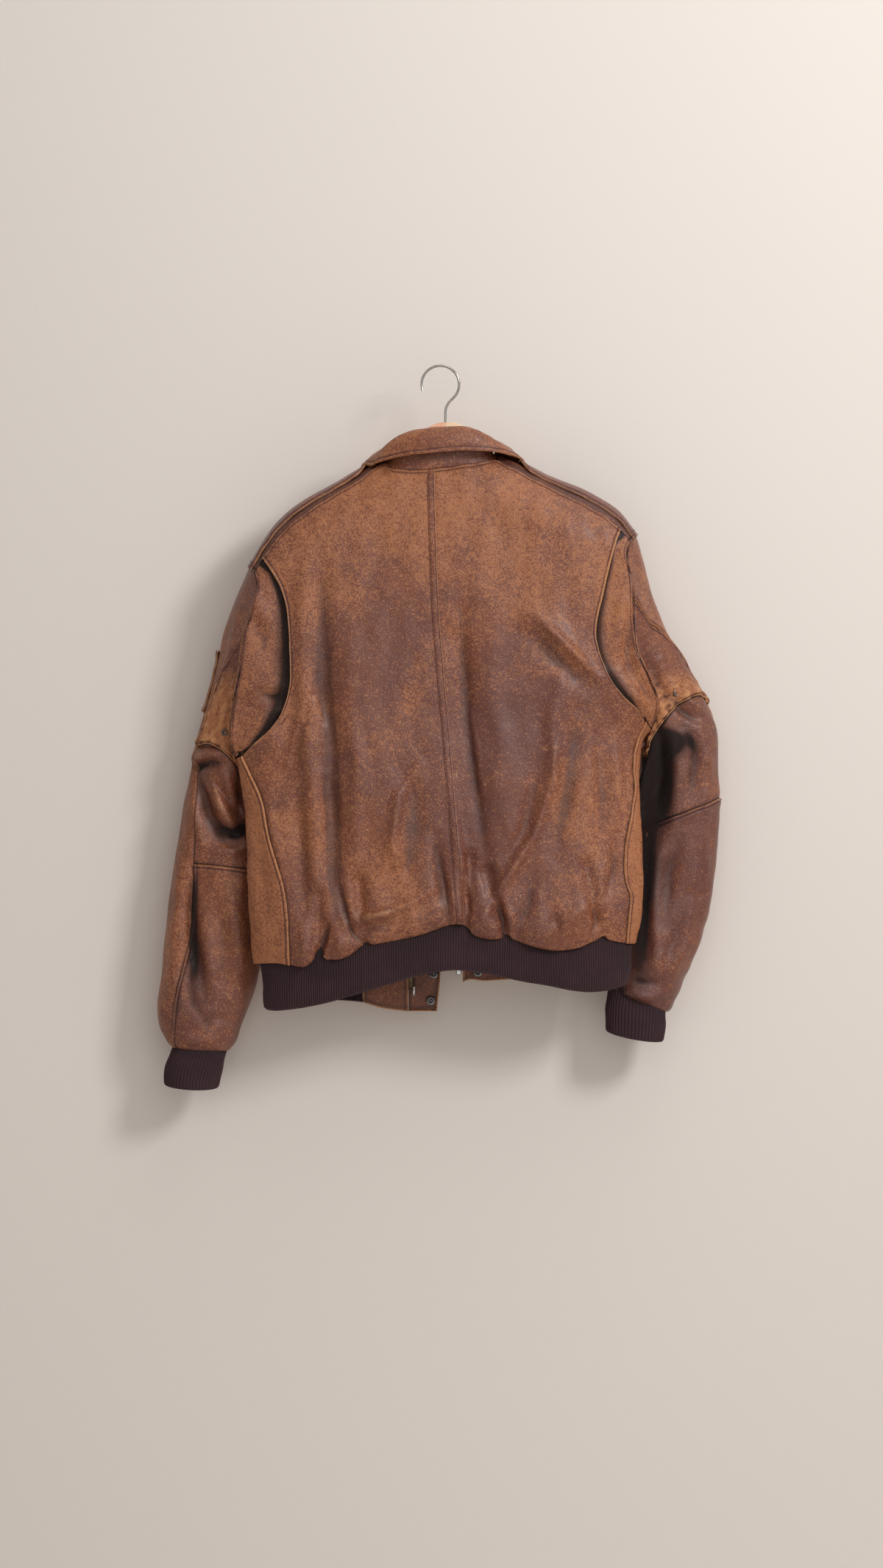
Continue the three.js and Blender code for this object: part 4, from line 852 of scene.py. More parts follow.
SLEEVES = (
    Sleeve(LEFT,
           ((-249, -263), (-280, -338), (-297, -410), (-319, -488), (-333, -559), (-346, -633),
            (-357, -712), (-364, -785), (-370, -850), (-352, -893)),
           ((-264.5, -513), (-260, -536), (-251, -566), (-240, -600), (-231, -630), (-225, -668),
            (-226, -728), (-236, -790), (-252, -842), (-272, -896)),
           ((0, 75), (0.12, 55), (0.22, 30), (0.33, 22), (0.45, 46), (0.55, 54), (0.7, 62),
            (0.8, 54), (0.9, 50), (1, 30)),
           (0.34, 0.13), (0.57, 0.52), left_fold, LEFT_SLEEVE_CREASES,
           ((-304, -524, 40, 6, 0.3), (-262, -606, 26, 14, 0.55), (-322, -560, 12, 34, 0.2),
            (-236, -660, 9, 60, 0.8), (-321, -690, 7, 45, 0.5), (-322, -775, 8, 45, 0.65),
            (-338, -840, 8, 35, 0.5))),
    Sleeve(RIGHT,
           ((258, -222), (288, -320), (327, -391), (362, -464), (368, -545), (366, -622),
            (357, -694), (343, -752), (320, -803), (302, -846)),
           ((275.5, -474.5), (272, -500), (266, -530), (257, -562), (250, -600), (244, -655),
            (238, -712), (232, -762), (227, -797), (224, -816)),
           ((0, 75), (0.08, 52), (0.18, 14), (0.3, -8), (1, -12)),
           (0.3, 0.13), (0.47, 0.47), right_fold, RIGHT_SLEEVE_CREASES,
           ((280, -540, 27, 62, 1.6), (270, -655, 20, 70, 1.2), (300, -490, 30, 16, 1.0),
            (260, -770, 18, 60, 0.9), (236, -815, 10, 20, 0.8)))
)


def dress_sleeve(cloth, sleeve):
    """The creases that all of a sleeve's panels share."""
    x, z = cloth.points[..., 0], cloth.points[..., 2]
    behind = within(np.sin(np.radians(cloth.angle)) * 1.6)
    ahead = within(-np.sin(np.radians(cloth.angle)) * 1.6)
    away = cloth.angle * ARC
    wave = ripple(cloth.t * 620, away, 48, 31 + sleeve.half.sign)
    cloth.push(1.2 * wave * within(cloth.t * 10))
    cloth.crease(sleeve.creases, x, z, 1.4 * behind)
    cloth.push(-4 * within((cloth.t - 0.972) / 0.028) ** 2)
    front = tuple((tuple((px + sleeve.half.sign * 6, pz - 14) for px, pz in line), width * 1.2, depth * 0.6)
                  for line, width, depth in sleeve.creases[::2])
    cloth.crease(front, x, z, ahead, 0.5)
    elbow = bump(cloth.t, sum(sleeve.elbow) / 2 - 0.02, 0.07)
    cloth.push(-1.5 * elbow * within(np.sin(cloth.t * 150)) * bump(np.mod(cloth.angle, 360), 180, 45))


def sleeve_rows(t_from, t_to, angle_from, angle_to, step):
    """Stations and angles of a panel between two lines across the sleeve."""
    tall = (sum(t_to) - sum(t_from)) / 2 * SLEEVE_RUN
    v = spread(tall, step)[:, None]
    a0, b0 = mix(t_from[0], t_to[0], v), mix(t_from[1], t_to[1], v)
    start, end = angle_from(a0, b0), angle_to(a0, b0)
    wide = abs(float(np.mean(end - start))) * ARC
    u = spread(wide, step)[None]
    return mix(a0, b0, u), mix(start, end, u)


def under_panel(sleeve, t_from, t_to, step=4.4):
    t, angle = sleeve_rows(t_from, t_to, lambda a, b: sleeve.hind_seam(a),
                           lambda a, b: FORE_SEAM + 0 * a, step)
    return sleeve.cloth(t, angle)


def underarm_gusset(sleeve):
    cloth = under_panel(sleeve, (0, 0), sleeve.gusset, 3.4)
    dress_sleeve(cloth, sleeve)
    cloth.edges(top="under", left="turned", right="plain")
    cloth.seam("bottom", "turned", inset=3)
    rough = ripple(cloth.points[..., 0], cloth.points[..., 2], 9, 5)
    puckers = np.sin(cloth.away["left"] / 2.6 + 2 * np.sin(cloth.away["left"] / 17))
    free = within(cloth.away["top"] / 20)
    cloth.push(0.9 * rough * free + 1.9 * puckers * np.exp(-cloth.away["bottom"] / 10) * free)
    cloth.push(2.2 * bump(cloth.away["bottom"], 7, 5) * free)
    cloth.rub += 0.3 * within(rough) + 0.35 * within(puckers) * np.exp(-cloth.away["bottom"] / 8)
    # Darker in the hollows of the crumples, and of the puckers lower down.
    cloth.soil += 0.3 * within(-rough)
    low = within((-395 - cloth.points[..., 2]) / 45)
    cloth.rub += low * (0.34 + 0.6 * within(rough + 0.3 * puckers))
    cloth.soil += 0.45 * low * within(-rough - 0.3 * puckers)
    cloth.tan += 0.3 + 0.7 * low
    cloth.pebble += 0.9 * low
    return cloth


def upper_under(sleeve):
    cloth = under_panel(sleeve, sleeve.gusset, sleeve.elbow)
    dress_sleeve(cloth, sleeve)
    cloth.edges(top="under", left="plain", right="plain", bottom="under")
    cloth.tan += 0.3
    # Painted shade in the hollows between the sleeve and the body.
    cloth.soil += 0.15 + 1.4 * sleeve.shade(cloth.points[..., 0], cloth.points[..., 2])
    return cloth


def lower_under(sleeve):
    cloth = under_panel(sleeve, sleeve.elbow, (1, 1))
    dress_sleeve(cloth, sleeve)
    cloth.edges(top="turned", left="turned", right="plain")
    gathers(cloth, cloth.away["bottom"], cloth.away["left"], 1.3)
    cloth.seam("bottom", "plain")
    cloth.tan += 0.3 if sleeve.half.sign < 0 else 0.1
    # Painted shade in the hollows between the sleeve and the body, and down the left sleeve's seam trough.
    cloth.soil += 1.2 * sleeve.shade(cloth.points[..., 0], cloth.points[..., 2])
    return cloth


def top_panel(sleeve):
    """The outside of the arm, from the fore seam round the front to the hind seam."""
    v = spread(SLEEVE_RUN, 5)
    lines = []
    for share in v:
        if share < 0.3:
            pair = [g * share / 0.3 for g in sleeve.gusset]
        elif share < 0.52:
            pair = [mix(g, e, (share - 0.3) / 0.22) for g, e in zip(sleeve.gusset, sleeve.elbow)]
        else:
            pair = [mix(e, 1, (share - 0.52) / 0.48) for e in sleeve.elbow]
        lines.append(pair)
    hind, fore = np.array(lines).T
    start, end = FORE_SEAM + 0 * hind, sleeve.hind_seam(hind) + 360
    u = spread(float(np.mean(end - start)) * ARC, 5)[None]
    cloth = sleeve.cloth(mix(fore[:, None], hind[:, None], u), mix(start[:, None], end[:, None], u))
    dress_sleeve(cloth, sleeve)
    gathers(cloth, cloth.away["bottom"], cloth.away["left"], 0.9)
    cloth.edges(top="under", right="under" if sleeve.half.sign < 0 else "turned",
                left="turned", bottom="plain")
    cloth.tan += 0.45
    return cloth


CUFFS = {
    "left": (((-347, -884), (-353, -898), (-358, -911), (-361, -925), (-361, -939)),
             ((-278, -888), (-281, -902), (-284, -915), (-287, -929), (-290, -943))),
    "right": (((297, -832), (297, -846), (297, -858), (296, -870), (294, -882)),
              ((224, -806), (221, -821), (219, -836), (219, -852), (219, -869))),
}
CUFF_DEEP = (25, 26, 28, 28, 28)


def ribbed(cloth, around, depth=0.7):
    """Raises the knit's ribs, with painted shade between them. around counts ribs round the piece."""
    wave = np.cos(2 * np.pi * around)
    cloth.push(depth * wave)
    cloth.soil = cloth.soil + 0.85 * within(-wave)


def rib_cuff(name):
    outer, inner = CUFFS[name]
    ribs, per_rib = 52, 6
    v = np.linspace(0, 1, 26)
    o, i = smooth_curve(outer, v), smooth_curve(inner, v)
    thick = smooth_curve(np.array(CUFF_DEEP, float)[:, None], v)
    a = np.linspace(0, 2 * np.pi, ribs * per_rib, endpoint=False)[None]
    share = (1 + np.cos(a)) / 2
    x = mix(i[:, :1], o[:, :1], share)
    z = mix(i[:, 1:], o[:, 1:], share) - 4 * np.sin(a)
    y = 25 - thick * np.sin(a) + 0 * x
    points = np.stack([x, y, z], -1)
    side = 1 if outer[0][0] > inner[0][0] else -1
    normals = unit(np.stack([np.cos(a) * side / 36 + 0 * x, -np.sin(a) / 28 + 0 * x, 0 * x], -1))
    cloth = Cloth(points, normals, closed=True)
    down = v[:, None] + 0 * a
    cloth.push(0.6 * np.sin(down * 9 + 2 * np.cos(a * 2)) * bump(down, 0.4, 0.3))
    cloth.push(-1.1 * within((down - 0.96) / 0.04) ** 2)
    ribbed(cloth, np.broadcast_to(a / (2 * np.pi) * ribs, x.shape))
    # Painted shade at the cuff's top, in under the sleeve's end.
    cloth.soil = cloth.soil + 0.6 * np.exp(-down * 9)
    cloth.rub = cloth.rub + 0.3 * bump(down, 0.97, 0.05)
    return cloth


band_left = smooth_table((-720, -238), (-775, -237), (-795, -231), (-850, -227))
band_right = smooth_table((-720, 250), (-770, 249), (-791, 246), (-808, 241), (-850, 240))
band_foot_back = smooth_table(
    (-240, -826), (-227, -838), (-193, -837), (-150, -829), (-108, -817), (-61, -803),
    (-29, -793), (10, -786), (31, -786), (66, -791), (107, -800), (137, -805), (178, -813),
    (207, -814), (240, -807), (250, -796))
band_foot_front = smooth_table(
    (-232, -836), (-170, -829), (-106, -831), (-73, -840), (-20, -845), (0, -844), (32, -805),
    (60, -804), (110, -801), (200, -800), (248, -796))
WAIST_LEFT = -101
WAIST_RIGHT = 111


def band_points(x, z, face):
    left, right = band_left(z), band_right(z)
    across = within(np.abs((2 * x - left - right) / (right - left)))
    full = np.sqrt(1 - across ** 3)
    depth = BAND_BACK if face < 0 else BAND_FRONT
    slope = 3 * across * across * np.sign(2 * x - left - right) * 2 / (right - left)
    n = unit(np.stack([slope, 2 * face * full / depth, 0 * x], -1))
    return np.stack([x, fold_y(z) + face * depth * full, z], -1), n


def band_columns(x, face, lines):
    """Points of the waistband: one column for each x, one row for each line."""
    top = (back_hem(x) if face < 0 else front_hem(x)) + WAISTBAND_TOP
    foot = band_foot_back(x) if face < 0 else band_foot_front(x)
    z = mix(top[None], foot[None], lines[:, None])
    inside = np.clip(x[None] + 0 * z, band_left(z) + 0.01, band_right(z) - 0.01)
    return band_points(inside, z, face)


def waistband():
    lines = np.linspace(0, 1, 30)
    stretches = []
    for face, ends in ((1, (WAIST_LEFT, -236.5)), (-1, (-236.5, 248)), (1, (248, WAIST_RIGHT))):
        fine = np.linspace(*ends, 1200)
        p, _ = band_columns(fine, face, lines[15:16])
        run = run_of(p[0])
        count = int(run[-1] / RIB_PITCH * 5)
        stretches.append((np.interp(np.linspace(0, run[-1], count), run, fine)[1:-1], face))
    blocks = [band_columns(x, face, lines) for x, face in stretches]
    points = np.concatenate([b[0] for b in blocks], 1)
    normals = np.concatenate([b[1] for b in blocks], 1)
    cloth = Cloth(points, normals)
    count = points.shape[1]
    place = np.arange(count)[None] / 5 + 0 * lines[:, None]
    run = np.arange(count)[None] * RIB_PITCH / 5
    d = cloth.away["bottom"]
    cloth.push(1.6 * np.sin(run / 34 + 1.3 * np.sin(run / 81)) * np.exp(-cloth.away["top"] / 30)
               + 0.9 * np.sin(run / 58 + 2) + 1.1 * bump(d, 12, 9))
    cloth.push(-2.2 * within(1 - d / 2.4) ** 2)
    ribbed(cloth, place + 0.12 * np.sin(lines[:, None] * 7 + run / 50))
    # Painted shade along the band's top, in under the hide's hem.
    cloth.soil = cloth.soil + 0.7 * np.exp(-cloth.away["top"] / 9)
    cloth.rub = cloth.rub + 0.35 * bump(d, 1.5, 2.4)
    return cloth


def waist_end(x_from, x_to):
    x = np.linspace(x_from, x_to, 26)
    points, normals = band_columns(x, 1, np.linspace(0, 1, 26))
    cloth = Cloth(points, normals)
    soft_waves(cloth, 44, 30, 0.7)
    for side in ("bottom", "left", "right"):
        cloth.seam(side, "turned", inset=5)
    cloth.tan += 0.5
    cloth.rub += 0.1
    return cloth


flap_edge = smooth_table((-190, -2), (-500, 0), (-785, 2), (-844, -3))


def front_surface(x, z):
    hem = front_hem(x)
    points = torso(x, np.maximum(z, hem), 1)
    normals = torso_normal(x, np.maximum(z, hem), 1)
    points[..., 2] = z
    return points, normals


def storm_flap():
    v = spread(654, 5)[:, None]
    z = mix(-190, -844, v)
    u = spread(42, 3.2)[None]
    x = mix(-40, flap_edge(z), u)
    z = z + 0 * x
    points, normals = front_surface(x, z)
    cloth = Cloth(points, normals)
    soft_waves(cloth, 51, 40, 0.8)
    cloth.seam("right", "turned", inset=5, second=11)
    cloth.seam("left", "under")
    cloth.seam("bottom", "turned", inset=5)
    cloth.seam("top", "under")
    cloth.tan += 0.3
    return cloth


# ---------------------------------------------------------------- collar
FOLD_LINE = np.array((
    (-34, 48, -146), (-57, 36, -127), (-64, 9, -108), (-56, -22, -98), (-42, -39, -88),
    (-14, -46, -82.5), (14, -47, -80.5), (42, -43, -82), (62, -27, -93), (73, 7, -101),
    (67, 36, -119), (44, 48, -142)), float)


def resting(x, z, face, lift=3.4):
    p = torso(x, z, face)
    return tuple(p + torso_normal(x, z, face) * lift)


FALL_EDGE = np.array((
    resting(-86, -228, 1), resting(-102, -186, 1), resting(-105, -152, 1),
    resting(-99, ridge(-99), 1, 5), (-89, -26, -132), (-77, -40, -128), (-48, -54, -122),
    (-21, -60, -119), (32, -60, -115), (68, -53, -116), (88, -40, -118),
    resting(108, ridge(108), 1, 5), resting(115, -147, 1), resting(112, -180, 1),
    resting(97, -220, 1)), float)


def collar_fall():
    """The turned-down collar, rolled over its fold line, with points at both front ends."""
    u = spread(430, 3.4)
    fold, edge = smooth_curve(FOLD_LINE, u), smooth_curve(FALL_EDGE, u)
    v = spread(44, 2.6)[:, None]
    points = mix(fold[None], edge[None], v[..., None])
    out = unit(np.stack([points[..., 0] - 4, points[..., 1], 0 * points[..., 0]], -1))
    points = points + out * (8 * np.sin(np.pi * v ** 0.8) ** 0.9)[..., None]
    points[..., 2] -= 1.5 * bump(v, 0.0, 0.1)
    away = points - np.array([4, 0, -135])
    cloth = Cloth(points, grid_normals(points, away))
    run = cloth.away["left"]
    cloth.push(0.9 * ripple(run, v * 40 + 0 * run, 44, 61))
    for side in ("bottom", "left", "right"):
        cloth.seam(side, inset=6)
    cloth.rub += 0.35 * bump(v, 0.2, 0.12) * within(ripple(run, 0 * run, 30, 9) + 0.4)
    cloth.tan += 0.55
    return cloth


def neck_line():
    """The seam where the collar is set in, from the left front round the back to the right."""
    left, right = (shoulder_cloth(half).points[:, -1] for half in HALVES)
    pieces = [
        torso(*np.array(LEFT.neck_front)[1:][::-1].T, 1), left[::-1][1:-1:3],
        torso(*LEFT.neck_back[0:-1].T, -1), torso(*RIGHT.neck_back[::-1].T, -1),
        right[1:-1:3], torso(*np.array(RIGHT.neck_front)[1:].T, 1)]
    return np.vstack(pieces)


def collar_stand():
    line = neck_line()
    u = spread(420, 4)
    foot = follow(line, u)
    head = smooth_curve(FOLD_LINE, u)
    out = unit(np.stack([head[:, 0] - 4, head[:, 1], 0 * head[:, 0]], -1))
    head = head - out * 2.2 - [0, 0, 1.6]
    v = spread(44, 3)[:, None]
    drawn = np.sqrt(v)
    points = np.stack([mix(foot[None, :, k], head[None, :, k], drawn if k < 2 else v)
                       for k in range(3)], -1)
    points[..., 2] -= 2.2 * (1 - v)
    away = points - np.array([4, 0, -135])
    cloth = Cloth(points, grid_normals(points, away))
    cloth.push(0.6 * ripple(cloth.away["left"], v * 40 + 0 * cloth.away["left"], 30, 71))
    cloth.push(-1.7 * np.exp(-cloth.away["top"] / 5))
    cloth.seam("top", "turned", inset=3.2)
    cloth.seam("bottom", "plain")
    cloth.tan += 0.3
    cloth.soil += 0.35 * bump(v, 0.5, 0.3)
    return cloth


def arm_patch():
    sleeve = SLEEVES[0]
    v, u = spread(78, 3)[:, None], spread(80, 3)[None]
    cloth = sleeve.cloth(mix(0.16, 0.28, v) + 0 * u, mix(12, -58, u) + 0 * v)
    cloth.push(2.3)
    for side in ("left", "right", "top", "bottom"):
        cloth.seam(side, inset=2.6)
    edge = np.minimum(np.minimum(cloth.away["left"], cloth.away["right"]),
                      np.minimum(cloth.away["top"], cloth.away["bottom"]))
    cloth.push(-0.8 * within((edge - 7) / 1.5))
    cloth.stripes = within((edge - 7) / 0.8)
    return cloth


# ---------------------------------------------------------------- from a grid to a piece
def shell(cloth, thickness):
    """Closes a cloth into a thin wall: its outer grid, the same grid moved in, and a rim."""
    p, n = cloth.points, cloth.normals
    rows, cols = p.shape[:2]
    wrap = cloth.closed
    normals = grid_normals(p, n, closed=wrap)
    inner = p - normals * thickness
    verts = np.concatenate([p.reshape(-1, 3), inner.reshape(-1, 3)]) * MM
    index = np.arange(rows * cols).reshape(rows, cols)
    if wrap:
        index = np.hstack([index, index[:, :1]])
    a, b = index[:-1, :-1], index[1:, :-1]
    c, d = index[1:, 1:], index[:-1, 1:]
    quads = np.stack([a, b, c, d], -1).reshape(-1, 4)
    one = normals[rows // 2, cols // 2]
    corner = [p.reshape(-1, 3)[k] for k in (index[rows // 2, cols // 2], index[rows // 2 + 1, cols // 2],
                                            index[rows // 2, cols // 2 + 1])]
    if np.dot(np.cross(corner[1] - corner[0], corner[2] - corner[0]), one) < 0:
        quads = quads[:, ::-1]
    under = quads[:, ::-1] + rows * cols
    loops = [index[0], index[-1]] if wrap else [
        np.concatenate([index[0, :-1], index[:-1, -1], index[-1, :0:-1], index[:0:-1, 0], index[:1, 0]])]
    used = {tuple(e) for e in np.concatenate([quads[:, [k, (k + 1) % 4]] for k in range(4)])}
    rim = []
    for loop in loops:
        for s, e in zip(loop[:-1], loop[1:]):
            if (s, e) in used:
                s, e = e, s
            rim.append((s, e, e + rows * cols, s + rows * cols))
    return verts, np.concatenate([quads, under, np.array(rim)])


def link(name, mesh, material):
    piece = bpy.data.objects.new(name, mesh)
    bpy.context.scene.collection.objects.link(piece)
    piece.data.materials.append(material)
    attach(piece, "root")
    return piece


def sew(name, cloth, nodes, thickness=HIDE, material="Hide", rests=None):
    """Makes a piece of cloth from its grid and gives it its masks, its place and its cut."""
    verts, faces = shell(cloth, thickness)
    mesh = bpy.data.meshes.new(name)
    mesh.from_pydata(verts.tolist(), [], faces.tolist())
    mesh.update()
    mesh.polygons.foreach_set("use_smooth", np.ones(len(faces), bool))
    for key in ("rub", "soil", "tan", "pebble", "stripes"):
        values = getattr(cloth, key, None)
        if values is None:
            continue
        both = np.concatenate([values.ravel(), values.ravel()]).clip(0, MASK_TOP).astype(np.float32)
        mesh.attributes.new(key, "FLOAT", "POINT").data.foreach_set("value", both)
    u = runs(cloth.points, 1)[0].mean(0) * MM
    v = runs(cloth.points, 0)[0].mean(1) * MM
    at = np.stack(np.broadcast_arrays(u[None], v[:, None]), -1).reshape(-1, 2)
    at = np.concatenate([at, at])
    loops = np.zeros(len(mesh.loops), np.int32)
    mesh.loops.foreach_get("vertex_index", loops)
    mesh.uv_layers.new(name="Cut").data.foreach_set("uv", at[loops].astype(np.float32).ravel())
    piece = link(name, mesh, bpy.data.materials[material])
    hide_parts(*nodes)
    p = cloth.points * MM
    if cloth.closed:
        p = np.concatenate([p, p[:, :1]], 1)
    if rests is None:
        rests = ["hanger_right"] if name.endswith("right") else ["hanger_left"]
    STITCHED.extend(cloth.stitch_lines())
    return piece


def sew_side(side, owner, *panels):
    """Sews one side's panels. Each is a label, what makes its cloth, and its node."""
    for label, make, node in panels:
        sew(f"hide_{label}_{side}", make(owner), [f"{node}_{side}"])


STITCHED = []


def thread_rows(name, lines):
    """Rows of stitches: short eight-sided grains of thread, sunk a little into the hide."""
    ring = np.array([(0.5, 0), (0, 0.42), (-0.5, 0), (0, -0.42)])
    grain_v = [(-1.4, 0, -0.25)] + [(s, y, z + 0.2) for s in (-0.8, 0.8) for y, z in ring]
    grain_v += [(1.4, 0, -0.25)]
    grain_f = [(0, 1 + (k + 1) % 4, 1 + k) for k in range(4)]
    grain_f += [(1 + k, 1 + (k + 1) % 4, 5 + (k + 1) % 4, 5 + k) for k in range(4)]
    grain_f += [(9, 5 + k, 5 + (k + 1) % 4) for k in range(4)]
    grain_v = np.array(grain_v)
    verts, faces, count = [], [], 0
    for points, normals in lines:
        run = run_of(points)
        at = np.arange(STITCH_END, run[-1] - STITCH_END, STITCH_PITCH)
        if len(at) < 2:
            continue
        centre = np.stack([np.interp(at, run, points[:, k]) for k in range(3)], 1)
        ahead = np.stack([np.interp(at + 1, run, points[:, k]) - np.interp(at - 1, run, points[:, k])
                          for k in range(3)], 1)
        up = unit(np.stack([np.interp(at, run, normals[:, k]) for k in range(3)], 1))
        ahead = unit(ahead)
        side = unit(np.cross(up, ahead))
        up = np.cross(ahead, side)
        basis = np.stack([ahead, side, up], 1)
        placed = centre[:, None] + np.einsum("vk,nkc->nvc", grain_v, basis)
        verts.append(placed.reshape(-1, 3) * MM)
        for k in range(len(at)):
            faces.extend(tuple(i + count for i in f) for f in grain_f)
            count += len(grain_v)
    mesh = bpy.data.meshes.new(name)
    mesh.from_pydata(np.vstack(verts).tolist(), [], faces)
    mesh.update()
    mesh.polygons.foreach_set("use_smooth", np.ones(len(faces), bool))
    return link(name, mesh, bpy.data.materials["Thread"])


# ---------------------------------------------------------------- materials
class Nodes:
    """Places and links the nodes of one tree."""

    def __init__(self, tree):
        self.tree = tree
        self.row = 0

    def add(self, kind, inputs=None, **settings):
        node = self.tree.nodes.new(kind)
        node.location = (180 * (self.row % 12), -230 * (self.row // 12))
        self.row += 1
        for key, value in settings.items():
            setattr(node, key, value)
        for key, value in (inputs or {}).items():
            self.feed(node.inputs[key], value)
        return node

    def feed(self, socket, value):
        if isinstance(value, bpy.types.NodeSocket):
            self.tree.links.new(value, socket)
        elif isinstance(value, bpy.types.Node):
            self.tree.links.new(value.outputs[0], socket)
        else:
            socket.default_value = value

    def math(self, operation, a, b=0.0, clamp=False):
        node = self.add("ShaderNodeMath", operation=operation, use_clamp=clamp)
        self.feed(node.inputs[0], a)
        self.feed(node.inputs[1], b)
        return node.outputs[0]

    def times(self, a, b, clamp=False):
        return self.math("MULTIPLY", a, b, clamp)

    def plus(self, a, b, clamp=False):
        return self.math("ADD", a, b, clamp)

    def relief(self, height, strength, distance, **under):
        """Small relief drawn from a height, over another normal if one is given."""
        return self.add("ShaderNodeBump", {
            "Height": height, "Strength": strength, "Distance": distance, **under}).outputs[0]

    def ramp(self, value, low, high):
        """0 below low, 1 above high, and smooth between."""
        node = self.add("ShaderNodeMapRange", {"Value": value, "From Min": low, "From Max": high},
                        interpolation_type="SMOOTHSTEP")
        return node.outputs[0]

    def blend(self, share, a, b, kind="MIX"):
        node = self.add("ShaderNodeMix", data_type="RGBA", blend_type=kind)
        for socket, value in zip((node.inputs[0], node.inputs[6], node.inputs[7]), (share, a, b)):
            self.feed(socket, value)
        return node.outputs[2]

    def noise(self, vector, scale, detail=2.0, rough=0.5, distort=0.0):
        return self.add("ShaderNodeTexNoise", {
            "Vector": vector, "Scale": scale, "Detail": detail, "Roughness": rough,
            "Distortion": distort}).outputs["Fac"]

    def mask(self, name):
        return self.add("ShaderNodeAttribute", attribute_name=name).outputs["Fac"]


def new_group(name, inputs, outputs):
    """An empty shader group: inputs and outputs are (name, kind, default) rows."""
    group = bpy.data.node_groups.new(name, "ShaderNodeTree")
    for direction, rows in (("INPUT", inputs), ("OUTPUT", outputs)):
        for label, kind, default in rows:
            socket = group.interface.new_socket(label, in_out=direction, socket_type=kind)
            if default is not None:
                socket.default_value = default
    nodes = Nodes(group)
    start = nodes.add("NodeGroupInput")
    end = nodes.add("NodeGroupOutput")
    return group, nodes, start.outputs, end.inputs


VALUE, COLOUR, VECTOR = "NodeSocketFloat", "NodeSocketColor", "NodeSocketVector"


def linear(*srgb):
    """A screen colour, 0 to 255, as the shader's own linear numbers."""
    return tuple(((c / 255 + 0.055) / 1.055) ** 2.4 if c > 10.3 else c / 255 / 12.92 for c in srgb) + (1.0,)


def mottle_group():
    """Cloudy change of tone between two colours, in large clouds and small ones."""
    group, n, given, out = new_group(
        "Mottle", [("Vector", VECTOR, None), ("First", COLOUR, None), ("Second", COLOUR, None),
                   ("Size", VALUE, 9.0), ("Bias", VALUE, 0.0)],
        [("Color", COLOUR, None), ("Mask", VALUE, None)])
    large = n.noise(given["Vector"], given["Size"], 4.0, 0.55, 0.8)
    small = n.noise(given["Vector"], n.times(given["Size"], 4.3), 4.0, 0.6, 0.4)
    sum_ = n.plus(n.times(large, 0.68), n.times(small, 0.32))
    mask = n.ramp(n.plus(sum_, given["Bias"]), 0.38, 0.65)
    n.feed(out["Color"], n.blend(mask, given["First"], given["Second"]))
    n.feed(out["Mask"], mask)
    return group


def grain_group():
    """The grain of hide: fine pebbles with cracks between, and pale flecks where its finish has gone.

    Worn says how much of the finish is gone, and Pebble how coarse and soft the hide is."""
    group, n, given, out = new_group(
        "HideGrain", [("Vector", VECTOR, None), ("Pebble", VALUE, 0.0), ("Worn", VALUE, 0.5)],
        [("Height", VALUE, None), ("Fleck", VALUE, None), ("Crack", VALUE, None)])
    cells = n.add("ShaderNodeTexVoronoi", {"Vector": given["Vector"], "Scale": 640.0, "Randomness": 1.0},
                  feature="SMOOTH_F1").outputs["Distance"]
    fine = n.noise(given["Vector"], 1250.0, 2.0, 0.6)
    speck = n.noise(given["Vector"], 500.0, 3.0, 0.7, 0.4)
    broad = n.noise(given["Vector"], 170.0, 4.0, 0.62, 0.7)
    height = n.plus(n.times(cells, -0.5), n.times(fine, 0.4))
    height = n.plus(height, n.times(broad, n.plus(n.times(given["Pebble"], 2.2), 0.5)))
    n.feed(out["Height"], height)
    level = n.plus(n.times(speck, 0.62), n.times(fine, 0.16))
    level = n.plus(level, n.times(broad, 0.22))
    level = n.plus(level, n.times(n.math("SUBTRACT", given["Worn"], 0.5), 0.17))
    n.feed(out["Fleck"], n.ramp(level, 0.46, 0.55))
    n.feed(out["Crack"], n.ramp(n.noise(given["Vector"], 430.0, 4.0, 0.8, 1.2), 0.54, 0.66))
    return group


def patchy_mask_group():
    """Breaks a mask that the cloth carries up with noise, so that what it marks comes and goes: wear along
    an edge, and dirt and painted shade in seams, folds and gaps.
    """
    group, n, given, out = new_group(
        "PatchyMask", [("Vector", VECTOR, None), ("Mask", VALUE, 0.0), ("Size", VALUE, 60.0)],
        [("Wear", VALUE, None)])
    patchy = n.noise(given["Vector"], given["Size"], 5.0, 0.65, 0.5)
    spread_ = n.plus(n.times(patchy, 1.3), 0.25)
    n.feed(out["Wear"], n.ramp(n.times(given["Mask"], spread_), 0.16, 0.82))
    return group


def fresh_material(name):
    material = bpy.data.materials.new(name)
    material.use_nodes = True
    material.node_tree.nodes.clear()
    nodes = Nodes(material.node_tree)
    shader = nodes.add("ShaderNodeBsdfPrincipled")
    nodes.add("ShaderNodeOutputMaterial", {"Surface": shader})
    where = nodes.add("ShaderNodeTexCoord").outputs["Object"]
    return material, nodes, shader.inputs, where


def place_group(nodes, name, **inputs):
    node = nodes.add("ShaderNodeGroup", node_tree=bpy.data.node_groups[name])
    for key, value in inputs.items():
        nodes.feed(node.inputs[key], value)
    return node.outputs


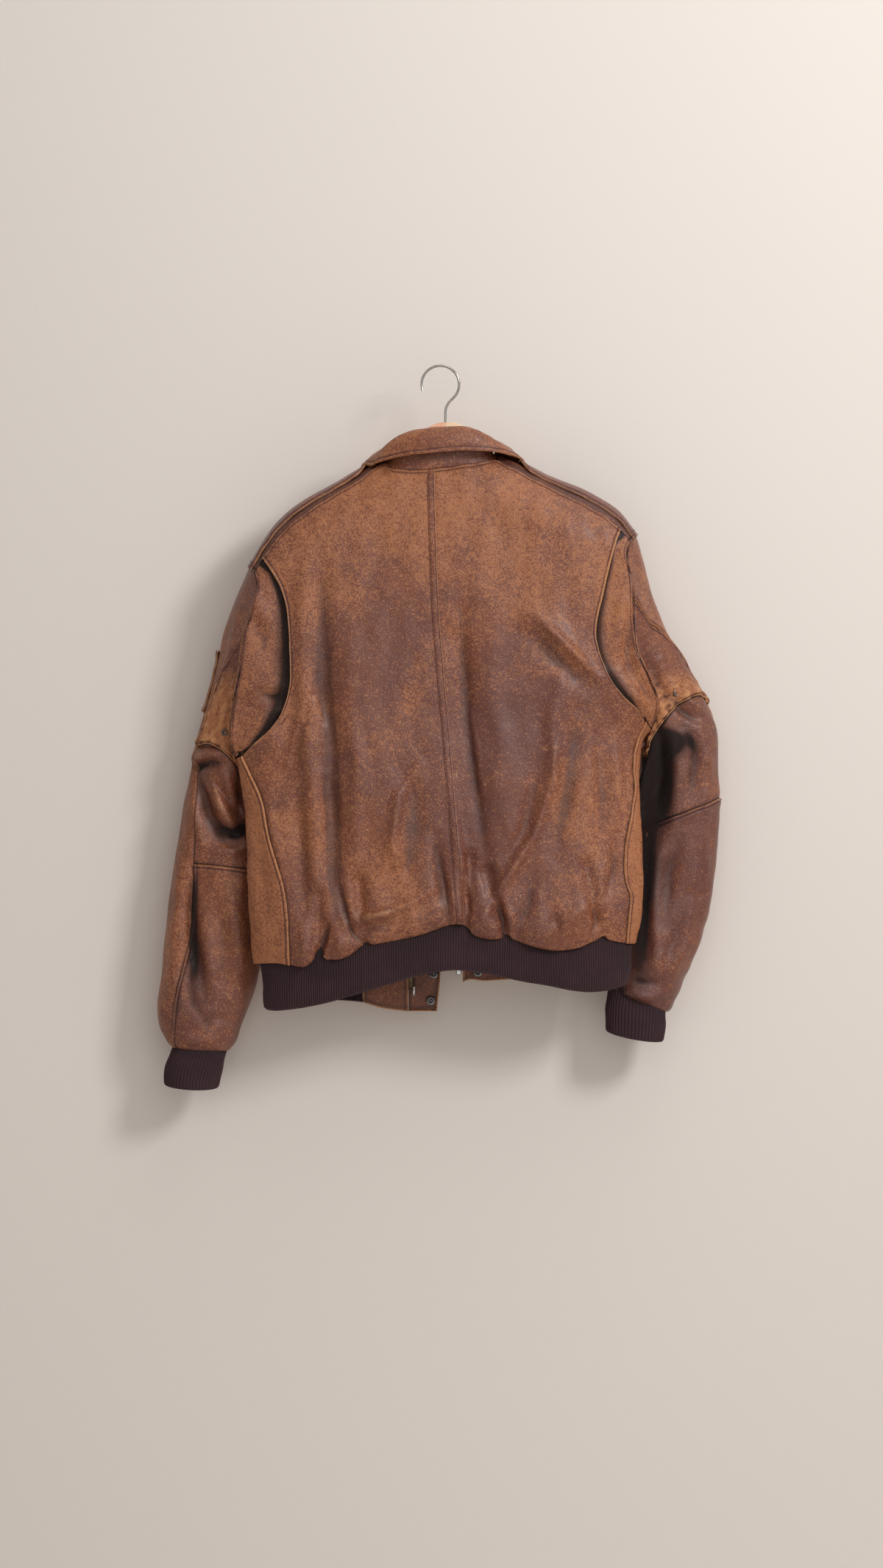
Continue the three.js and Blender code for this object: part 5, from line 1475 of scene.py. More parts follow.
def hide_material(settings):
    material, n, shader, where = fresh_material("Hide")
    tan, rub, soil, pebble = (n.mask(key) for key in ("tan", "rub", "soil", "pebble"))
    base = place_group(n, "Mottle", Vector=where, First=tuple(settings.plum), Second=tuple(settings.brown),
                       Size=5.0, Bias=n.times(n.math("SUBTRACT", tan, 0.45), 0.2))
    shifted = n.add("ShaderNodeMapping", {"Vector": where, "Location": (0.37, 0.11, 0.53)})
    worn = place_group(n, "Mottle", Vector=shifted.outputs[0], First=(0, 0, 0, 1), Second=(1, 1, 1, 1),
                       Size=10.0, Bias=n.times(n.math("SUBTRACT", tan, 0.6), 0.2))
    gone = n.plus(n.times(worn["Mask"], 0.42), n.times(tan, 0.5), True)
    grain = place_group(n, "HideGrain", Vector=where, Pebble=pebble, Worn=gone)
    colour = n.blend(n.times(gone, 0.4), base["Color"], tuple(settings.orange))
    colour = n.blend(n.times(pebble, 0.35, True), colour, tuple(settings.orange))
    colour = n.blend(n.times(grain["Fleck"], 0.6), colour, tuple(settings.fleck))
    colour = n.blend(n.times(grain["Crack"], 0.5), colour, tuple(settings.dark))
    edge = place_group(n, "PatchyMask", Vector=where, Mask=rub, Size=95.0)
    colour = n.blend(n.times(edge["Wear"], 0.6), colour, tuple(settings.rubbed))
    # Dirt and painted shade: the soil mask, broken into patches, darkens seams, troughs, laps and gaps, and
    # where it runs high it turns to a near-black painted shade.
    darkening = place_group(n, "PatchyMask", Vector=where, Mask=soil, Size=26.0)
    colour = n.blend(n.times(darkening["Wear"], 0.62), colour, tuple(settings.dark))
    deep = n.ramp(soil, 0.72, 1.3)
    colour = n.blend(n.times(deep, 0.9), colour, tuple(settings.deep))
    scuffs = n.add("ShaderNodeMapping", {"Vector": where, "Rotation": (0.0, 0.5, 0.0),
                                         "Scale": (14.0, 8.0, 1.6)})
    line = n.noise(scuffs.outputs[0], 9.0, 5.0, 0.7, 1.4)
    scratch = n.times(n.ramp(line, 0.66, 0.7), n.ramp(n.noise(where, 22.0, 2.0), 0.52, 0.62))
    colour = n.blend(n.times(scratch, 0.4), colour, tuple(settings.rubbed))
    n.feed(shader["Base Color"], colour)
    gloss = n.plus(n.times(gone, 0.22), settings.hide_roughness)
    gloss = n.plus(gloss, n.times(grain["Fleck"], 0.1))
    gloss = n.plus(gloss, n.times(pebble, 0.25), True)
    gloss = n.plus(gloss, deep, True)
    n.feed(shader["Roughness"], gloss)
    wrinkle = n.noise(where, 58.0, 6.0, 0.66, 0.9)
    first = n.relief(wrinkle, 0.8, 0.002)
    n.feed(shader["Normal"], n.relief(grain["Height"], 0.9, 0.0009, Normal=first))
    shader["Specular IOR Level"].default_value = 0.42
    shader["Coat Weight"].default_value = 0.1
    shader["Coat Roughness"].default_value = 0.28
    return material


def knit_material(settings):
    material, n, shader, where = fresh_material("RibKnit")
    uv = n.add("ShaderNodeUVMap", uv_map="Cut").outputs[0]
    soil, rub = n.mask("soil"), n.mask("rub")
    base = place_group(n, "Mottle", Vector=where, First=tuple(settings.knit),
                       Second=tuple(settings.knit_light), Size=16.0, Bias=0.0)
    rows = n.add("ShaderNodeTexWave", {"Vector": uv, "Scale": 190.0, "Distortion": 2.2, "Detail": 2.0,
                                       "Detail Scale": 3.0}, bands_direction="Y").outputs["Fac"]
    fuzz = n.noise(where, 1500.0, 3.0, 0.7)
    colour = n.blend(n.times(rows, 0.35), base["Color"], tuple(settings.knit_dark))
    # Painted shade: the soil mask darkens the knit between its ribs and along its tops, in under the hide.
    colour = n.blend(n.times(soil, 0.95, True), colour, tuple(settings.knit_dark))
    colour = n.blend(n.times(n.ramp(fuzz, 0.6, 0.75), 0.3), colour, tuple(settings.lint))
    edge = place_group(n, "PatchyMask", Vector=where, Mask=rub, Size=150.0)
    colour = n.blend(n.times(edge["Wear"], 0.35), colour, tuple(settings.lint))
    n.feed(shader["Base Color"], colour)
    n.feed(shader["Roughness"], n.plus(n.times(fuzz, 0.1), 0.85))
    height = n.plus(n.times(rows, 0.6), n.times(fuzz, 0.5))
    n.feed(shader["Normal"], n.relief(height, 0.7, 0.0006))
    shader["Sheen Weight"].default_value = 0.12
    shader["Sheen Roughness"].default_value = 0.6
    shader["Sheen Tint"].default_value = (0.62, 0.42, 0.45, 1)
    return material


def thread_material(settings):
    material, n, shader, where = fresh_material("Thread")
    twist = n.noise(where, 900.0, 2.0, 0.6)
    n.feed(shader["Base Color"], n.blend(twist, tuple(settings.thread), linear(92, 40, 44)))
    n.feed(shader["Roughness"], n.plus(n.times(twist, 0.2), 0.5))
    n.feed(shader["Normal"], n.relief(twist, 0.4, 0.0002))
    return material


def metal_material(name, colour, rough, wear_colour, patina=0.5):
    material, n, shader, where = fresh_material(name)
    cloud = place_group(n, "Mottle", Vector=where, First=colour, Second=wear_colour, Size=55.0, Bias=0.0)
    colour_ = n.blend(patina, colour, cloud["Color"])
    fine = n.noise(where, 420.0, 3.0, 0.6)
    n.feed(shader["Base Color"], colour_)
    shader["Metallic"].default_value = 1.0
    n.feed(shader["Roughness"], n.plus(n.times(fine, 0.16), rough - 0.06))
    n.feed(shader["Normal"], n.relief(fine, 0.08, 0.0002))
    return material


def wood_material(name, pale, dark):
    material, n, shader, where = fresh_material(name)
    along = n.add("ShaderNodeMapping", {"Vector": where, "Scale": (3.0, 26.0, 26.0),
                                        "Rotation": (0.0, 0.12, 0.0)}).outputs[0]
    rings = n.add("ShaderNodeTexWave", {"Vector": along, "Scale": 1.3, "Distortion": 7.0, "Detail": 3.0,
                                        "Detail Scale": 1.2}, bands_direction="Z").outputs["Fac"]
    pores = n.noise(n.add("ShaderNodeMapping", {"Vector": where, "Scale": (40.0, 700.0, 700.0)}).outputs[0],
                    1.0, 3.0, 0.6)
    colour = n.blend(rings, pale, dark)
    colour = n.blend(n.times(n.ramp(pores, 0.56, 0.7), 0.35), colour, dark)
    n.feed(shader["Base Color"], colour)
    n.feed(shader["Roughness"], n.plus(n.times(pores, 0.15), 0.3))
    n.feed(shader["Normal"], n.relief(pores, 0.15, 0.0003))
    shader["Coat Weight"].default_value = 0.3
    shader["Coat Roughness"].default_value = 0.2
    return material


def tape_material():
    """The woven tape that a zip's teeth are clamped to."""
    material, n, shader, where = fresh_material("ZipTape")
    uv = n.add("ShaderNodeUVMap", uv_map="Cut").outputs[0]
    weave = n.add("ShaderNodeTexWave", {"Vector": uv, "Scale": 260.0, "Distortion": 1.0},
                  bands_direction="Y").outputs["Fac"]
    n.feed(shader["Base Color"], n.blend(weave, linear(44, 30, 26), linear(88, 66, 52)))
    n.feed(shader["Roughness"], n.plus(n.times(n.noise(where, 300.0), 0.2), 0.7))
    n.feed(shader["Normal"], n.relief(weave, 0.5, 0.0003))
    return material


def stripe_material(settings):
    """The arm patch's cloth face: plain woven stripes inside a hide border."""
    material, n, shader, where = fresh_material("PatchCloth")
    uv = n.add("ShaderNodeUVMap", uv_map="Cut").outputs[0]
    bands = n.add("ShaderNodeTexWave", {"Vector": uv, "Scale": 21.0, "Distortion": 0.2, "Detail": 1.0},
                  bands_direction="Y").outputs["Fac"]
    weave = n.noise(uv, 2400.0, 2.0, 0.5)
    cloth = n.blend(n.ramp(bands, 0.45, 0.55), linear(196, 186, 176), linear(140, 38, 44))
    cloth = n.blend(n.times(weave, 0.35), cloth, linear(70, 40, 36))
    inside = n.mask("stripes")
    edge = place_group(n, "PatchyMask", Vector=where, Mask=n.mask("rub"), Size=95.0)
    border = n.blend(n.times(edge["Wear"], 0.6), linear(92, 52, 42), tuple(settings.rubbed))
    n.feed(shader["Base Color"], n.blend(inside, border, cloth))
    n.feed(shader["Roughness"], n.plus(n.times(inside, 0.3), 0.52))
    grain = place_group(n, "HideGrain", Vector=where, Pebble=0.0)
    n.feed(shader["Normal"], n.relief(grain["Height"], 0.6, 0.0005))
    return material


# ---------------------------------------------------------------- hanger, hook and fastenings
HOOK_WIRE = 3.3
HOOK_REACH = 24.5      # radius of the hook's bend
HOOK_MIDDLE = 1.5      # X of the bend's centre
SNAP_RADIUS = 6
hanger_top = smooth_table(
    (0, -73), (14, -74), (32, -84), (50, -103), (66, -121), (110, -146), (150, -166), (185, -190),
    (205, -207), (216, -222))
hanger_tall = smooth_table((0, 52), (60, 42), (120, 36), (185, 34), (205, 28), (216, 20))
hanger_thick = smooth_table((0, 7), (110, 7), (160, 10), (205, 13), (216, 8))


def mode(name):
    bpy.ops.object.mode_set(mode=name)


def into_mesh():
    """Puts the place, turn and size of what is selected in its mesh."""
    bpy.ops.object.transform_apply(location=True, rotation=True, scale=True)


def smoothed(piece, angle):
    """Smooths all edges that are blunter than an angle."""
    piece.select_set(True)
    bpy.ops.object.shade_smooth_by_angle(angle=math.radians(angle))


def everything_off():
    if bpy.context.object and bpy.context.object.mode != "OBJECT":
        mode("OBJECT")
    bpy.ops.object.select_all(action="DESELECT")


def pick(mesh, test, face=True):
    """Selects the faces or the vertices of the mesh being edited that pass a test, and nothing else."""
    bpy.ops.mesh.select_all(action="DESELECT")
    bpy.context.tool_settings.mesh_select_mode = (not face, False, face)
    shape = bmesh.from_edit_mesh(mesh)
    for item in (shape.faces if face else shape.verts):
        item.select_set(bool(test(item)))
    if not face:
        shape.select_flush(True)
    bmesh.update_edit_mesh(mesh)


def bevelled(piece, width, segments=2, angle=40):
    """Rounds the sharp edges of a piece and smooths what is left."""
    modifier = piece.modifiers.new("Rounding", "BEVEL")
    modifier.width, modifier.segments, modifier.limit_method = width * MM, segments, "ANGLE"
    modifier.angle_limit = math.radians(angle)
    bpy.context.view_layer.objects.active = piece
    bpy.ops.object.modifier_apply(modifier="Rounding")
    smoothed(piece, 50)


def finish_piece(piece, material, nodes):
    """Puts a piece's place in its mesh, and gives it its finish and what it stands for."""
    everything_off()
    piece.select_set(True)
    bpy.context.view_layer.objects.active = piece
    into_mesh()
    mode("EDIT")
    bpy.ops.mesh.select_all(action="SELECT")
    bpy.ops.mesh.remove_doubles(threshold=1e-6)
    bpy.ops.mesh.normals_make_consistent(inside=False)
    mode("OBJECT")
    piece.data.materials.clear()
    piece.data.materials.append(bpy.data.materials[material])
    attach(piece, "root")
    if nodes:
        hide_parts(*nodes)
    return piece


def hanger_half(side):
    """One contoured arm of the wooden hanger, drawn out of a block ring by ring."""
    everything_off()
    middle = 8
    stations = np.r_[np.linspace(0.15, 60, 9), np.linspace(74, 190, 9), 200, 208, 213, 216]
    drop = 1 if side > 0 else -5

    def ring(d):
        top = float(hanger_top(d)) + (drop if d > 60 else drop * d / 60)
        return top, float(hanger_tall(d)), float(hanger_thick(d))

    top, tall, thick = ring(stations[0])
    bpy.ops.mesh.primitive_cube_add(size=1, location=((middle + side * (stations[0] + 0.4)) * MM, 0,
                                                      (top - tall / 2) * MM))
    piece = bpy.context.object
    piece.name = "wood_hanger_left" if side < 0 else "wood_hanger_right"
    piece.dimensions = (0.8 * MM, 2 * thick * MM, tall * MM)
    into_mesh()
    mode("EDIT")
    before = (stations[0] + 0.8, top, tall, thick)
    for d in stations[1:]:
        far = middle + side * before[0]
        pick(piece.data, lambda f: abs(f.calc_center_median().x - far * MM) < 0.05 * MM)
        top, tall, thick = ring(d)
        step = (side * (d - before[0]) * MM, 0, (top - tall / 2 - before[1] + before[2] / 2) * MM)
        bpy.ops.mesh.extrude_region_move(TRANSFORM_OT_translate={"value": step})
        bpy.ops.transform.resize(value=(1, thick / before[3], tall / before[2]))
        before = (d, top, tall, thick)
    mode("OBJECT")
    bevelled(piece, 4.2, 4, 60)
    return finish_piece(piece, "WoodLeft" if side < 0 else "WoodRight",
                        ["hanger_left" if side < 0 else "hanger_right"])


def wire_hook():
    """The hook: a round of wire spun over the peg, then drawn down in an S to the wood."""
    everything_off()
    low, turn = -42, 242
    centre = (HOOK_MIDDLE * MM, 0, (HOOK_WIRE / 2 - HOOK_REACH) * MM)
    start = math.radians(low)
    at = (centre[0] + HOOK_REACH * MM * math.cos(start), 0, centre[2] + HOOK_REACH * MM * math.sin(start))
    bpy.ops.mesh.primitive_circle_add(vertices=12, radius=HOOK_WIRE / 2 * MM, fill_type="NGON",
                                      location=at, rotation=(0, -start, 0))
    piece = bpy.context.object
    piece.name = "wire_hook"
    into_mesh()
    mode("EDIT")
    bpy.ops.mesh.select_all(action="SELECT")
    way = [(12.5, -46.5, 40), (9.4, -52, 12), (8.1, -58, 2), (8, -73.5, 0)]
    here = (at[0] / MM, at[2] / MM)
    heading = 48
    for x, z, lean in way:
        bpy.ops.mesh.extrude_region_move(TRANSFORM_OT_translate={
            "value": ((x - here[0]) * MM, 0, (z - here[1]) * MM)})
        bpy.ops.transform.rotate(value=math.radians(heading - lean), orient_axis="Y",
                                 center_override=(x * MM, 0, z * MM))
        here, heading = (x, z), lean
    head = Vector(at)
    pick(piece.data, lambda v: (v.co - head).length < HOOK_WIRE * 0.52 * MM, face=False)
    bpy.ops.mesh.spin(steps=44, angle=math.radians(turn), center=centre, axis=(0, 1, 0))
    mode("OBJECT")
    smoothed(piece, 50)
    return finish_piece(piece, "Chrome", ["hook"])


def facing(piece, at, normal):
    """Turns a piece from +Z to a normal, and puts it in its place."""
    everything_off()
    piece.select_set(True)
    bpy.context.view_layer.objects.active = piece
    piece.rotation_euler = Vector(normal).to_track_quat("Z", "Y").to_euler()
    piece.location = Vector(at) * MM
    into_mesh()


def plate_normal(node):
    """Which way a thin round node faces, and its middle, in millimetres."""
    co = np.array([v.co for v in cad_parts[node].data.vertices]) / MM
    middle = (co.max(0) + co.min(0)) / 2
    normal = np.linalg.svd(co - co.mean(0), full_matrices=False)[2][2]
    return middle, normal * (1 if normal[1] < 0 else -1)


def socket_snap(name, node):
    """A snap socket: a domed ring rolled over a well, with the halves of its spring inside."""
    middle, normal = plate_normal(node)
    everything_off()
    bpy.ops.mesh.primitive_cylinder_add(vertices=28, radius=SNAP_RADIUS * MM, depth=1.4 * MM)
    piece = bpy.context.object
    piece.name = name
    mode("EDIT")
    for inset, rise in ((0.14, 0.7), (0.12, 0.3), (0.16, 0.05), (0.1, -0.8), (0.1, -0.7), (0.1, 0.4),
                        (0.08, 0.35), (0.08, -0.4)):
        pick(piece.data, lambda f: f.normal.z > 0.9 and f.calc_center_median().xy.length < 0.1 * MM)
        bpy.ops.mesh.inset(thickness=inset * SNAP_RADIUS * MM, depth=0)
        bpy.ops.transform.translate(value=(0, 0, rise * MM))
    mode("OBJECT")
    bevelled(piece, 0.16, 2, 30)
    facing(piece, middle, normal)
    return finish_piece(piece, "Gunmetal", [node])


def eyelet(name, sleeve, t, angle):
    """A vent eyelet: a rolled ring spun round a hole in the gusset."""
    node = f"eyelet_{sleeve.half.name}"
    middle, _ = plate_normal(node)
    normal = unit(middle - at_middle(sleeve, t))
    surface = sleeve.cloth(np.full((3, 3), t) + np.array([[-0.01], [0], [0.01]]),
                           np.full((3, 3), angle) + np.array([[-3, 0, 3]]))
    normal = surface.normals[1, 1] if (surface.normals[1, 1] * normal).sum() > 0 else -surface.normals[1, 1]
    everything_off()
    bpy.ops.mesh.primitive_circle_add(vertices=10, radius=1.3 * MM, fill_type="NOTHING",
                                      location=(3.4 * MM, 0, 0), rotation=(math.pi / 2, 0, 0))
    piece = bpy.context.object
    piece.name = name
    into_mesh()
    mode("EDIT")
    pick(piece.data, lambda v: v.co.x < 2.6 * MM, face=False)
    bpy.ops.transform.translate(value=(0, 0, -0.9 * MM))
    bpy.ops.mesh.select_all(action="SELECT")
    bpy.ops.mesh.spin(steps=28, angle=2 * math.pi, center=(0, 0, 0), axis=(0, 0, 1))
    mode("OBJECT")
    smoothed(piece, 60)
    facing(piece, middle + normal * 2.1, normal)
    return finish_piece(piece, "Gunmetal", [node])


def at_middle(sleeve, t):
    return (smooth_curve(sleeve.outer, t) + smooth_curve(sleeve.inner, t)) / 2


def zip_tooth():
    """One tooth of the chain: a small block drawn out to a waisted nose."""
    everything_off()
    bpy.ops.mesh.primitive_cube_add(size=1, location=(0, 0, 0))
    piece = bpy.context.object
    piece.dimensions = (2.6 * MM, 2.0 * MM, 1.25 * MM)
    into_mesh()
    mode("EDIT")
    for reach, size in ((0.8, 0.62), (0.9, 1.3)):
        pick(piece.data, lambda f: f.normal.x > 0.9)
        bpy.ops.mesh.extrude_region_move(TRANSFORM_OT_translate={"value": (reach * MM, 0, 0)})
        bpy.ops.transform.resize(value=(1, size, size))
    mode("OBJECT")
    return piece


def zip_side(name, centre_at, top, bottom, sink, faces_left, node):
    """The tape inside a front edge, woven flat, with its chain of teeth along one edge."""
    levels = np.linspace(top, bottom, 90)
    x = np.array([centre_at(z) for z in levels])
    across = np.linspace(-5.3, 5.3, 7)[None] + (-2 if faces_left else 2)
    points, normals = front_surface(x[:, None] + across, levels[:, None] + 0 * across)
    cloth = Cloth(points - normals * sink, normals)
    made = sew(f"tape_{name}", cloth, [node], 0.7, "ZipTape", rests=["waistband"])
    tooth = zip_tooth()
    shape = np.array([v.co for v in tooth.data.vertices]) * (-1 if faces_left else 1, 1, 1)
    faces = [tuple(p.vertices)[::(-1 if faces_left else 1)] for p in tooth.data.polygons]
    bpy.data.objects.remove(tooth, do_unlink=True)
    rows = np.arange(top - 3, bottom + 3, -2.2)
    at = np.stack([np.interp(-rows, -levels, cloth.points[:, 3, k]) for k in range(3)], 1)
    out = np.stack([np.interp(-rows, -levels, normals[:, 3, k]) for k in range(3)], 1)
    verts = (at - out * 0.35)[:, None] * MM + shape[None]
    mesh = bpy.data.meshes.new(f"chain_{name}")
    index = [tuple(i + k * len(shape) for i in f) for k in range(len(rows)) for f in faces]
    mesh.from_pydata(verts.reshape(-1, 3).tolist(), [], index)
    mesh.update()
    link(f"chain_{name}", mesh, bpy.data.materials["Brass"])
    return made


def cast_piece(node, sunk):
    """A small cast piece of the zip's foot, filled from its node's box, with turned-in faces."""
    low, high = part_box(node)
    everything_off()
    bpy.ops.mesh.primitive_cube_add(size=1, location=(low + high) / 2)
    piece = bpy.context.object
    piece.name = f"metal_{node}"
    piece.dimensions = high - low
    into_mesh()
    mode("EDIT")
    bpy.ops.mesh.select_all(action="SELECT")
    bpy.ops.mesh.bevel(offset=0.45 * MM, segments=2, affect="EDGES")
    for sign in (-1, 1):
        pick(piece.data, lambda f: f.normal.y * sign > 0.99)
        bpy.ops.mesh.inset(thickness=0.55 * MM, depth=0)
        bpy.ops.transform.translate(value=(0, -sign * sunk * MM, 0))
    mode("OBJECT")
    smoothed(piece, 40)
    return finish_piece(piece, "Chrome", [node])


# ---------------------------------------------------------------- settings, operators and panel
def colour_setting(name, about, *srgb):
    return bpy.props.FloatVectorProperty(name=name, description=about, default=linear(*srgb),
                                         size=4, subtype="COLOR", min=0.0, max=1.0)


class JacketFinish(bpy.types.PropertyGroup):
    """The colours and gloss of the hide and the knit."""

    brown: colour_setting("Brown", "The hide's own colour", 114, 62, 39)
    plum: colour_setting("Plum", "The hide where its finish is whole", 94, 52, 44)
    orange: colour_setting("Orange", "The hide where its finish is worn thin", 148, 80, 38)
    rubbed: colour_setting("Rubbed", "Bare edges and the tops of folds", 196, 142, 96)
    fleck: colour_setting("Fleck", "Pale flecks in the grain", 184, 122, 80)
    # Dark is also laid over the soil mask: dirt, and painted shade in troughs, under laps and in the gaps
    # between parts, besides the cracks of the grain.
    dark: colour_setting("Dark", "Cracks in the grain, and grime in seams", 60, 32, 28)
    # Deep is painted shade: near black where the soil mask runs high, in the gap between the right sleeve
    # and the body, where the pleats run under the back panel, along the straps' edges and in the deepest
    # troughs.
    deep: colour_setting("Deep", "The bottoms of the deepest folds", 9, 5, 5)
    thread: colour_setting("Thread", "Topstitching", 46, 18, 22)
    knit: colour_setting("Knit", "Rib knit", 46, 16, 25)
    knit_light: colour_setting("Knit Light", "Rib knit where it has faded", 58, 27, 35)
    # Knit Dark paints the knit's darker rows, and painted shade between the ribs and along the knit's tops,
    # in under the hide.
    knit_dark: colour_setting("Knit Dark", "Between the ribs", 22, 10, 13)
    lint: colour_setting("Lint", "Fluff on the knit", 118, 84, 84)
    hide_roughness: bpy.props.FloatProperty(
        name="Hide Roughness", description="Roughness of whole hide", default=0.34, min=0.0, max=1.0)


class StudioSetup(bpy.types.PropertyGroup):
    """The camera, the wall and the lights."""

    lens: bpy.props.FloatProperty(name="Lens", description="Focal length", default=85.0, min=20.0)
    aim_x: bpy.props.FloatProperty(name="Aim X", description="Where the camera looks",
                                   default=0.003, unit="LENGTH")
    aim_z: bpy.props.FloatProperty(name="Aim Z", description="Height that the camera looks at",
                                   default=-0.545, unit="LENGTH")
    frame_height: bpy.props.FloatProperty(
        name="Frame Height", description="Height of the view at the jacket", default=2.032, unit="LENGTH")
    wall_y: bpy.props.FloatProperty(name="Wall", description="How far behind the hook the wall stands",
                                    default=0.085, unit="LENGTH")
    wall: colour_setting("Wall Colour", "Painted wall", 216, 209, 203)


class JACKET_OT_materials(bpy.types.Operator):
    """Build the shader groups and every material of the jacket and its hanger"""

    bl_idname = "jacket.materials"
    bl_label = "Materials"

    def execute(self, context):
        settings = context.scene.jacket_finish
        mottle_group()
        grain_group()
        patchy_mask_group()
        hide_material(settings)
        knit_material(settings)
        thread_material(settings)
        stripe_material(settings)
        tape_material()
        metal_material("Chrome", linear(176, 172, 168), 0.14, linear(112, 106, 100), 0.5)
        metal_material("Gunmetal", linear(92, 90, 92), 0.26, linear(168, 164, 158), 0.5)
        metal_material("Brass", linear(150, 128, 86), 0.34, linear(92, 76, 52), 0.8)
        # The left arm is darker and pinker than the right: partly the hanger's two halves being different
        # wood, partly painted shade on the left one.
        wood_material("WoodLeft", linear(236, 176, 142), linear(214, 146, 108))
        wood_material("WoodRight", linear(240, 206, 168), linear(226, 184, 140))
        return {"FINISHED"}


class JACKET_OT_body(bpy.types.Operator):
    """Sew the back, side, pleat and front panels of both halves, and the lap down the back"""

    bl_idname = "jacket.body"
    bl_label = "Body Panels"

    def execute(self, context):
        for half in HALVES:
            sew_side(half.name, half, ("back", back_panel, "back"), ("side", side_panel, "side_panel"),
                     ("pleat", action_pleat, "action_pleat"), ("front", front_panel, "front"))
        sew("hide_centre_strip", centre_strip(), ["back_centre_strip"], thickness=1.2)
        return {"FINISHED"}


class JACKET_OT_shoulders(bpy.types.Operator):
    """Sew the shoulder pieces and the straps over them"""

    bl_idname = "jacket.shoulders"
    bl_label = "Shoulders and Straps"

    def execute(self, context):
        for half in HALVES:
            sew_side(half.name, half, ("shoulder", shoulder_piece, "shoulder"),
                     ("strap", shoulder_strap, "shoulder_strap"))
        return {"FINISHED"}


class JACKET_OT_sleeves(bpy.types.Operator):
    """Sew the four panels of each sleeve, and the arm patch"""

    bl_idname = "jacket.sleeves"
    bl_label = "Sleeves"

    def execute(self, context):
        for sleeve in SLEEVES:
            sew_side(sleeve.half.name, sleeve, ("gusset", underarm_gusset, "underarm_gusset"),
                     ("under_upper", upper_under, "sleeve_under_upper"),
                     ("under_lower", lower_under, "sleeve_under_lower"),
                     ("sleeve_top", top_panel, "sleeve_top"))
        sew("hide_arm_patch", arm_patch(), ["arm_patch"], material="PatchCloth", thickness=1.2)
        return {"FINISHED"}


class JACKET_OT_collar(bpy.types.Operator):
    """Sew the collar: the stand that is set into the neck and the fall that turns down over it"""

    bl_idname = "jacket.collar"
    bl_label = "Collar"

    def execute(self, context):
        sew("hide_collar_stand", collar_stand(), ["collar_stand"])
        sew("hide_collar_fall", collar_fall(), ["collar_fall"])
        return {"FINISHED"}


class JACKET_OT_ribs(bpy.types.Operator):
    """Knit the waistband and the cuffs, and sew the hide ends of the waistband and the storm flap"""

    bl_idname = "jacket.ribs"
    bl_label = "Ribs and Front Ends"

    def execute(self, context):
        sew("rib_waistband", waistband(), ["waistband"], KNIT, "RibKnit")
        for name in CUFFS:
            sew(f"rib_cuff_{name}", rib_cuff(name), [f"cuff_{name}"], KNIT, "RibKnit")
        sew("hide_waist_end_left", waist_end(WAIST_LEFT, -40.4), ["waist_end_left"])
        sew("hide_waist_end_right", waist_end(31, WAIST_RIGHT), ["waist_end_right"])
        sew("hide_storm_flap", storm_flap(), ["storm_flap"])
        return {"FINISHED"}


class JACKET_OT_hanger(bpy.types.Operator):
    """Shape the two contoured arms of the wooden hanger"""

    bl_idname = "jacket.hanger"
    bl_label = "Wooden Hanger"

    def execute(self, context):
        for side in (-1, 1):
            hanger_half(side)
        return {"FINISHED"}


class JACKET_OT_hook(bpy.types.Operator):
    """Bend the hanger's wire hook"""

    bl_idname = "jacket.hook"
    bl_label = "Wire Hook"

    def execute(self, context):
        wire_hook()
        return {"FINISHED"}


class JACKET_OT_fastenings(bpy.types.Operator):
    """Set the snaps and eyelets, and both sides of the front zip with its pin and box"""

    bl_idname = "jacket.fastenings"
    bl_label = "Snaps, Eyelets and Zip"

    def execute(self, context):
        for node in ("snap_left_upper", "snap_left_lower", "snap_right"):
            socket_snap(f"metal_{node}", node)
        for sleeve, t, angle in ((SLEEVES[0], 0.235, 78), (SLEEVES[1], 0.22, 62)):
            eyelet(f"metal_eyelet_{sleeve.half.name}", sleeve, t, angle)
        zip_side("left", lambda z: -35.0, -194, -816, 2.4, True, "zip_left")
        zip_side("right", smooth_table((-190, 19), (-480, 25), (-784, 30)), -190, -784, 3.4, False,
                 "zip_right")
        cast_piece("zip_pin", 0.3)
        cast_piece("zip_box", 0.5)
        return {"FINISHED"}


class JACKET_OT_stitching(bpy.types.Operator):
    """Topstitch every turned edge that has been sewn so far"""

    bl_idname = "jacket.stitching"
    bl_label = "Topstitching"

    def execute(self, context):
        if not STITCHED:
            raise RuntimeError("sew the panels before they are topstitched")
        third = (len(STITCHED) + 2) // 3
        for k in range(3):
            thread_rows(f"topstitching_{k + 1}", STITCHED[k * third:(k + 1) * third])
        return {"FINISHED"}


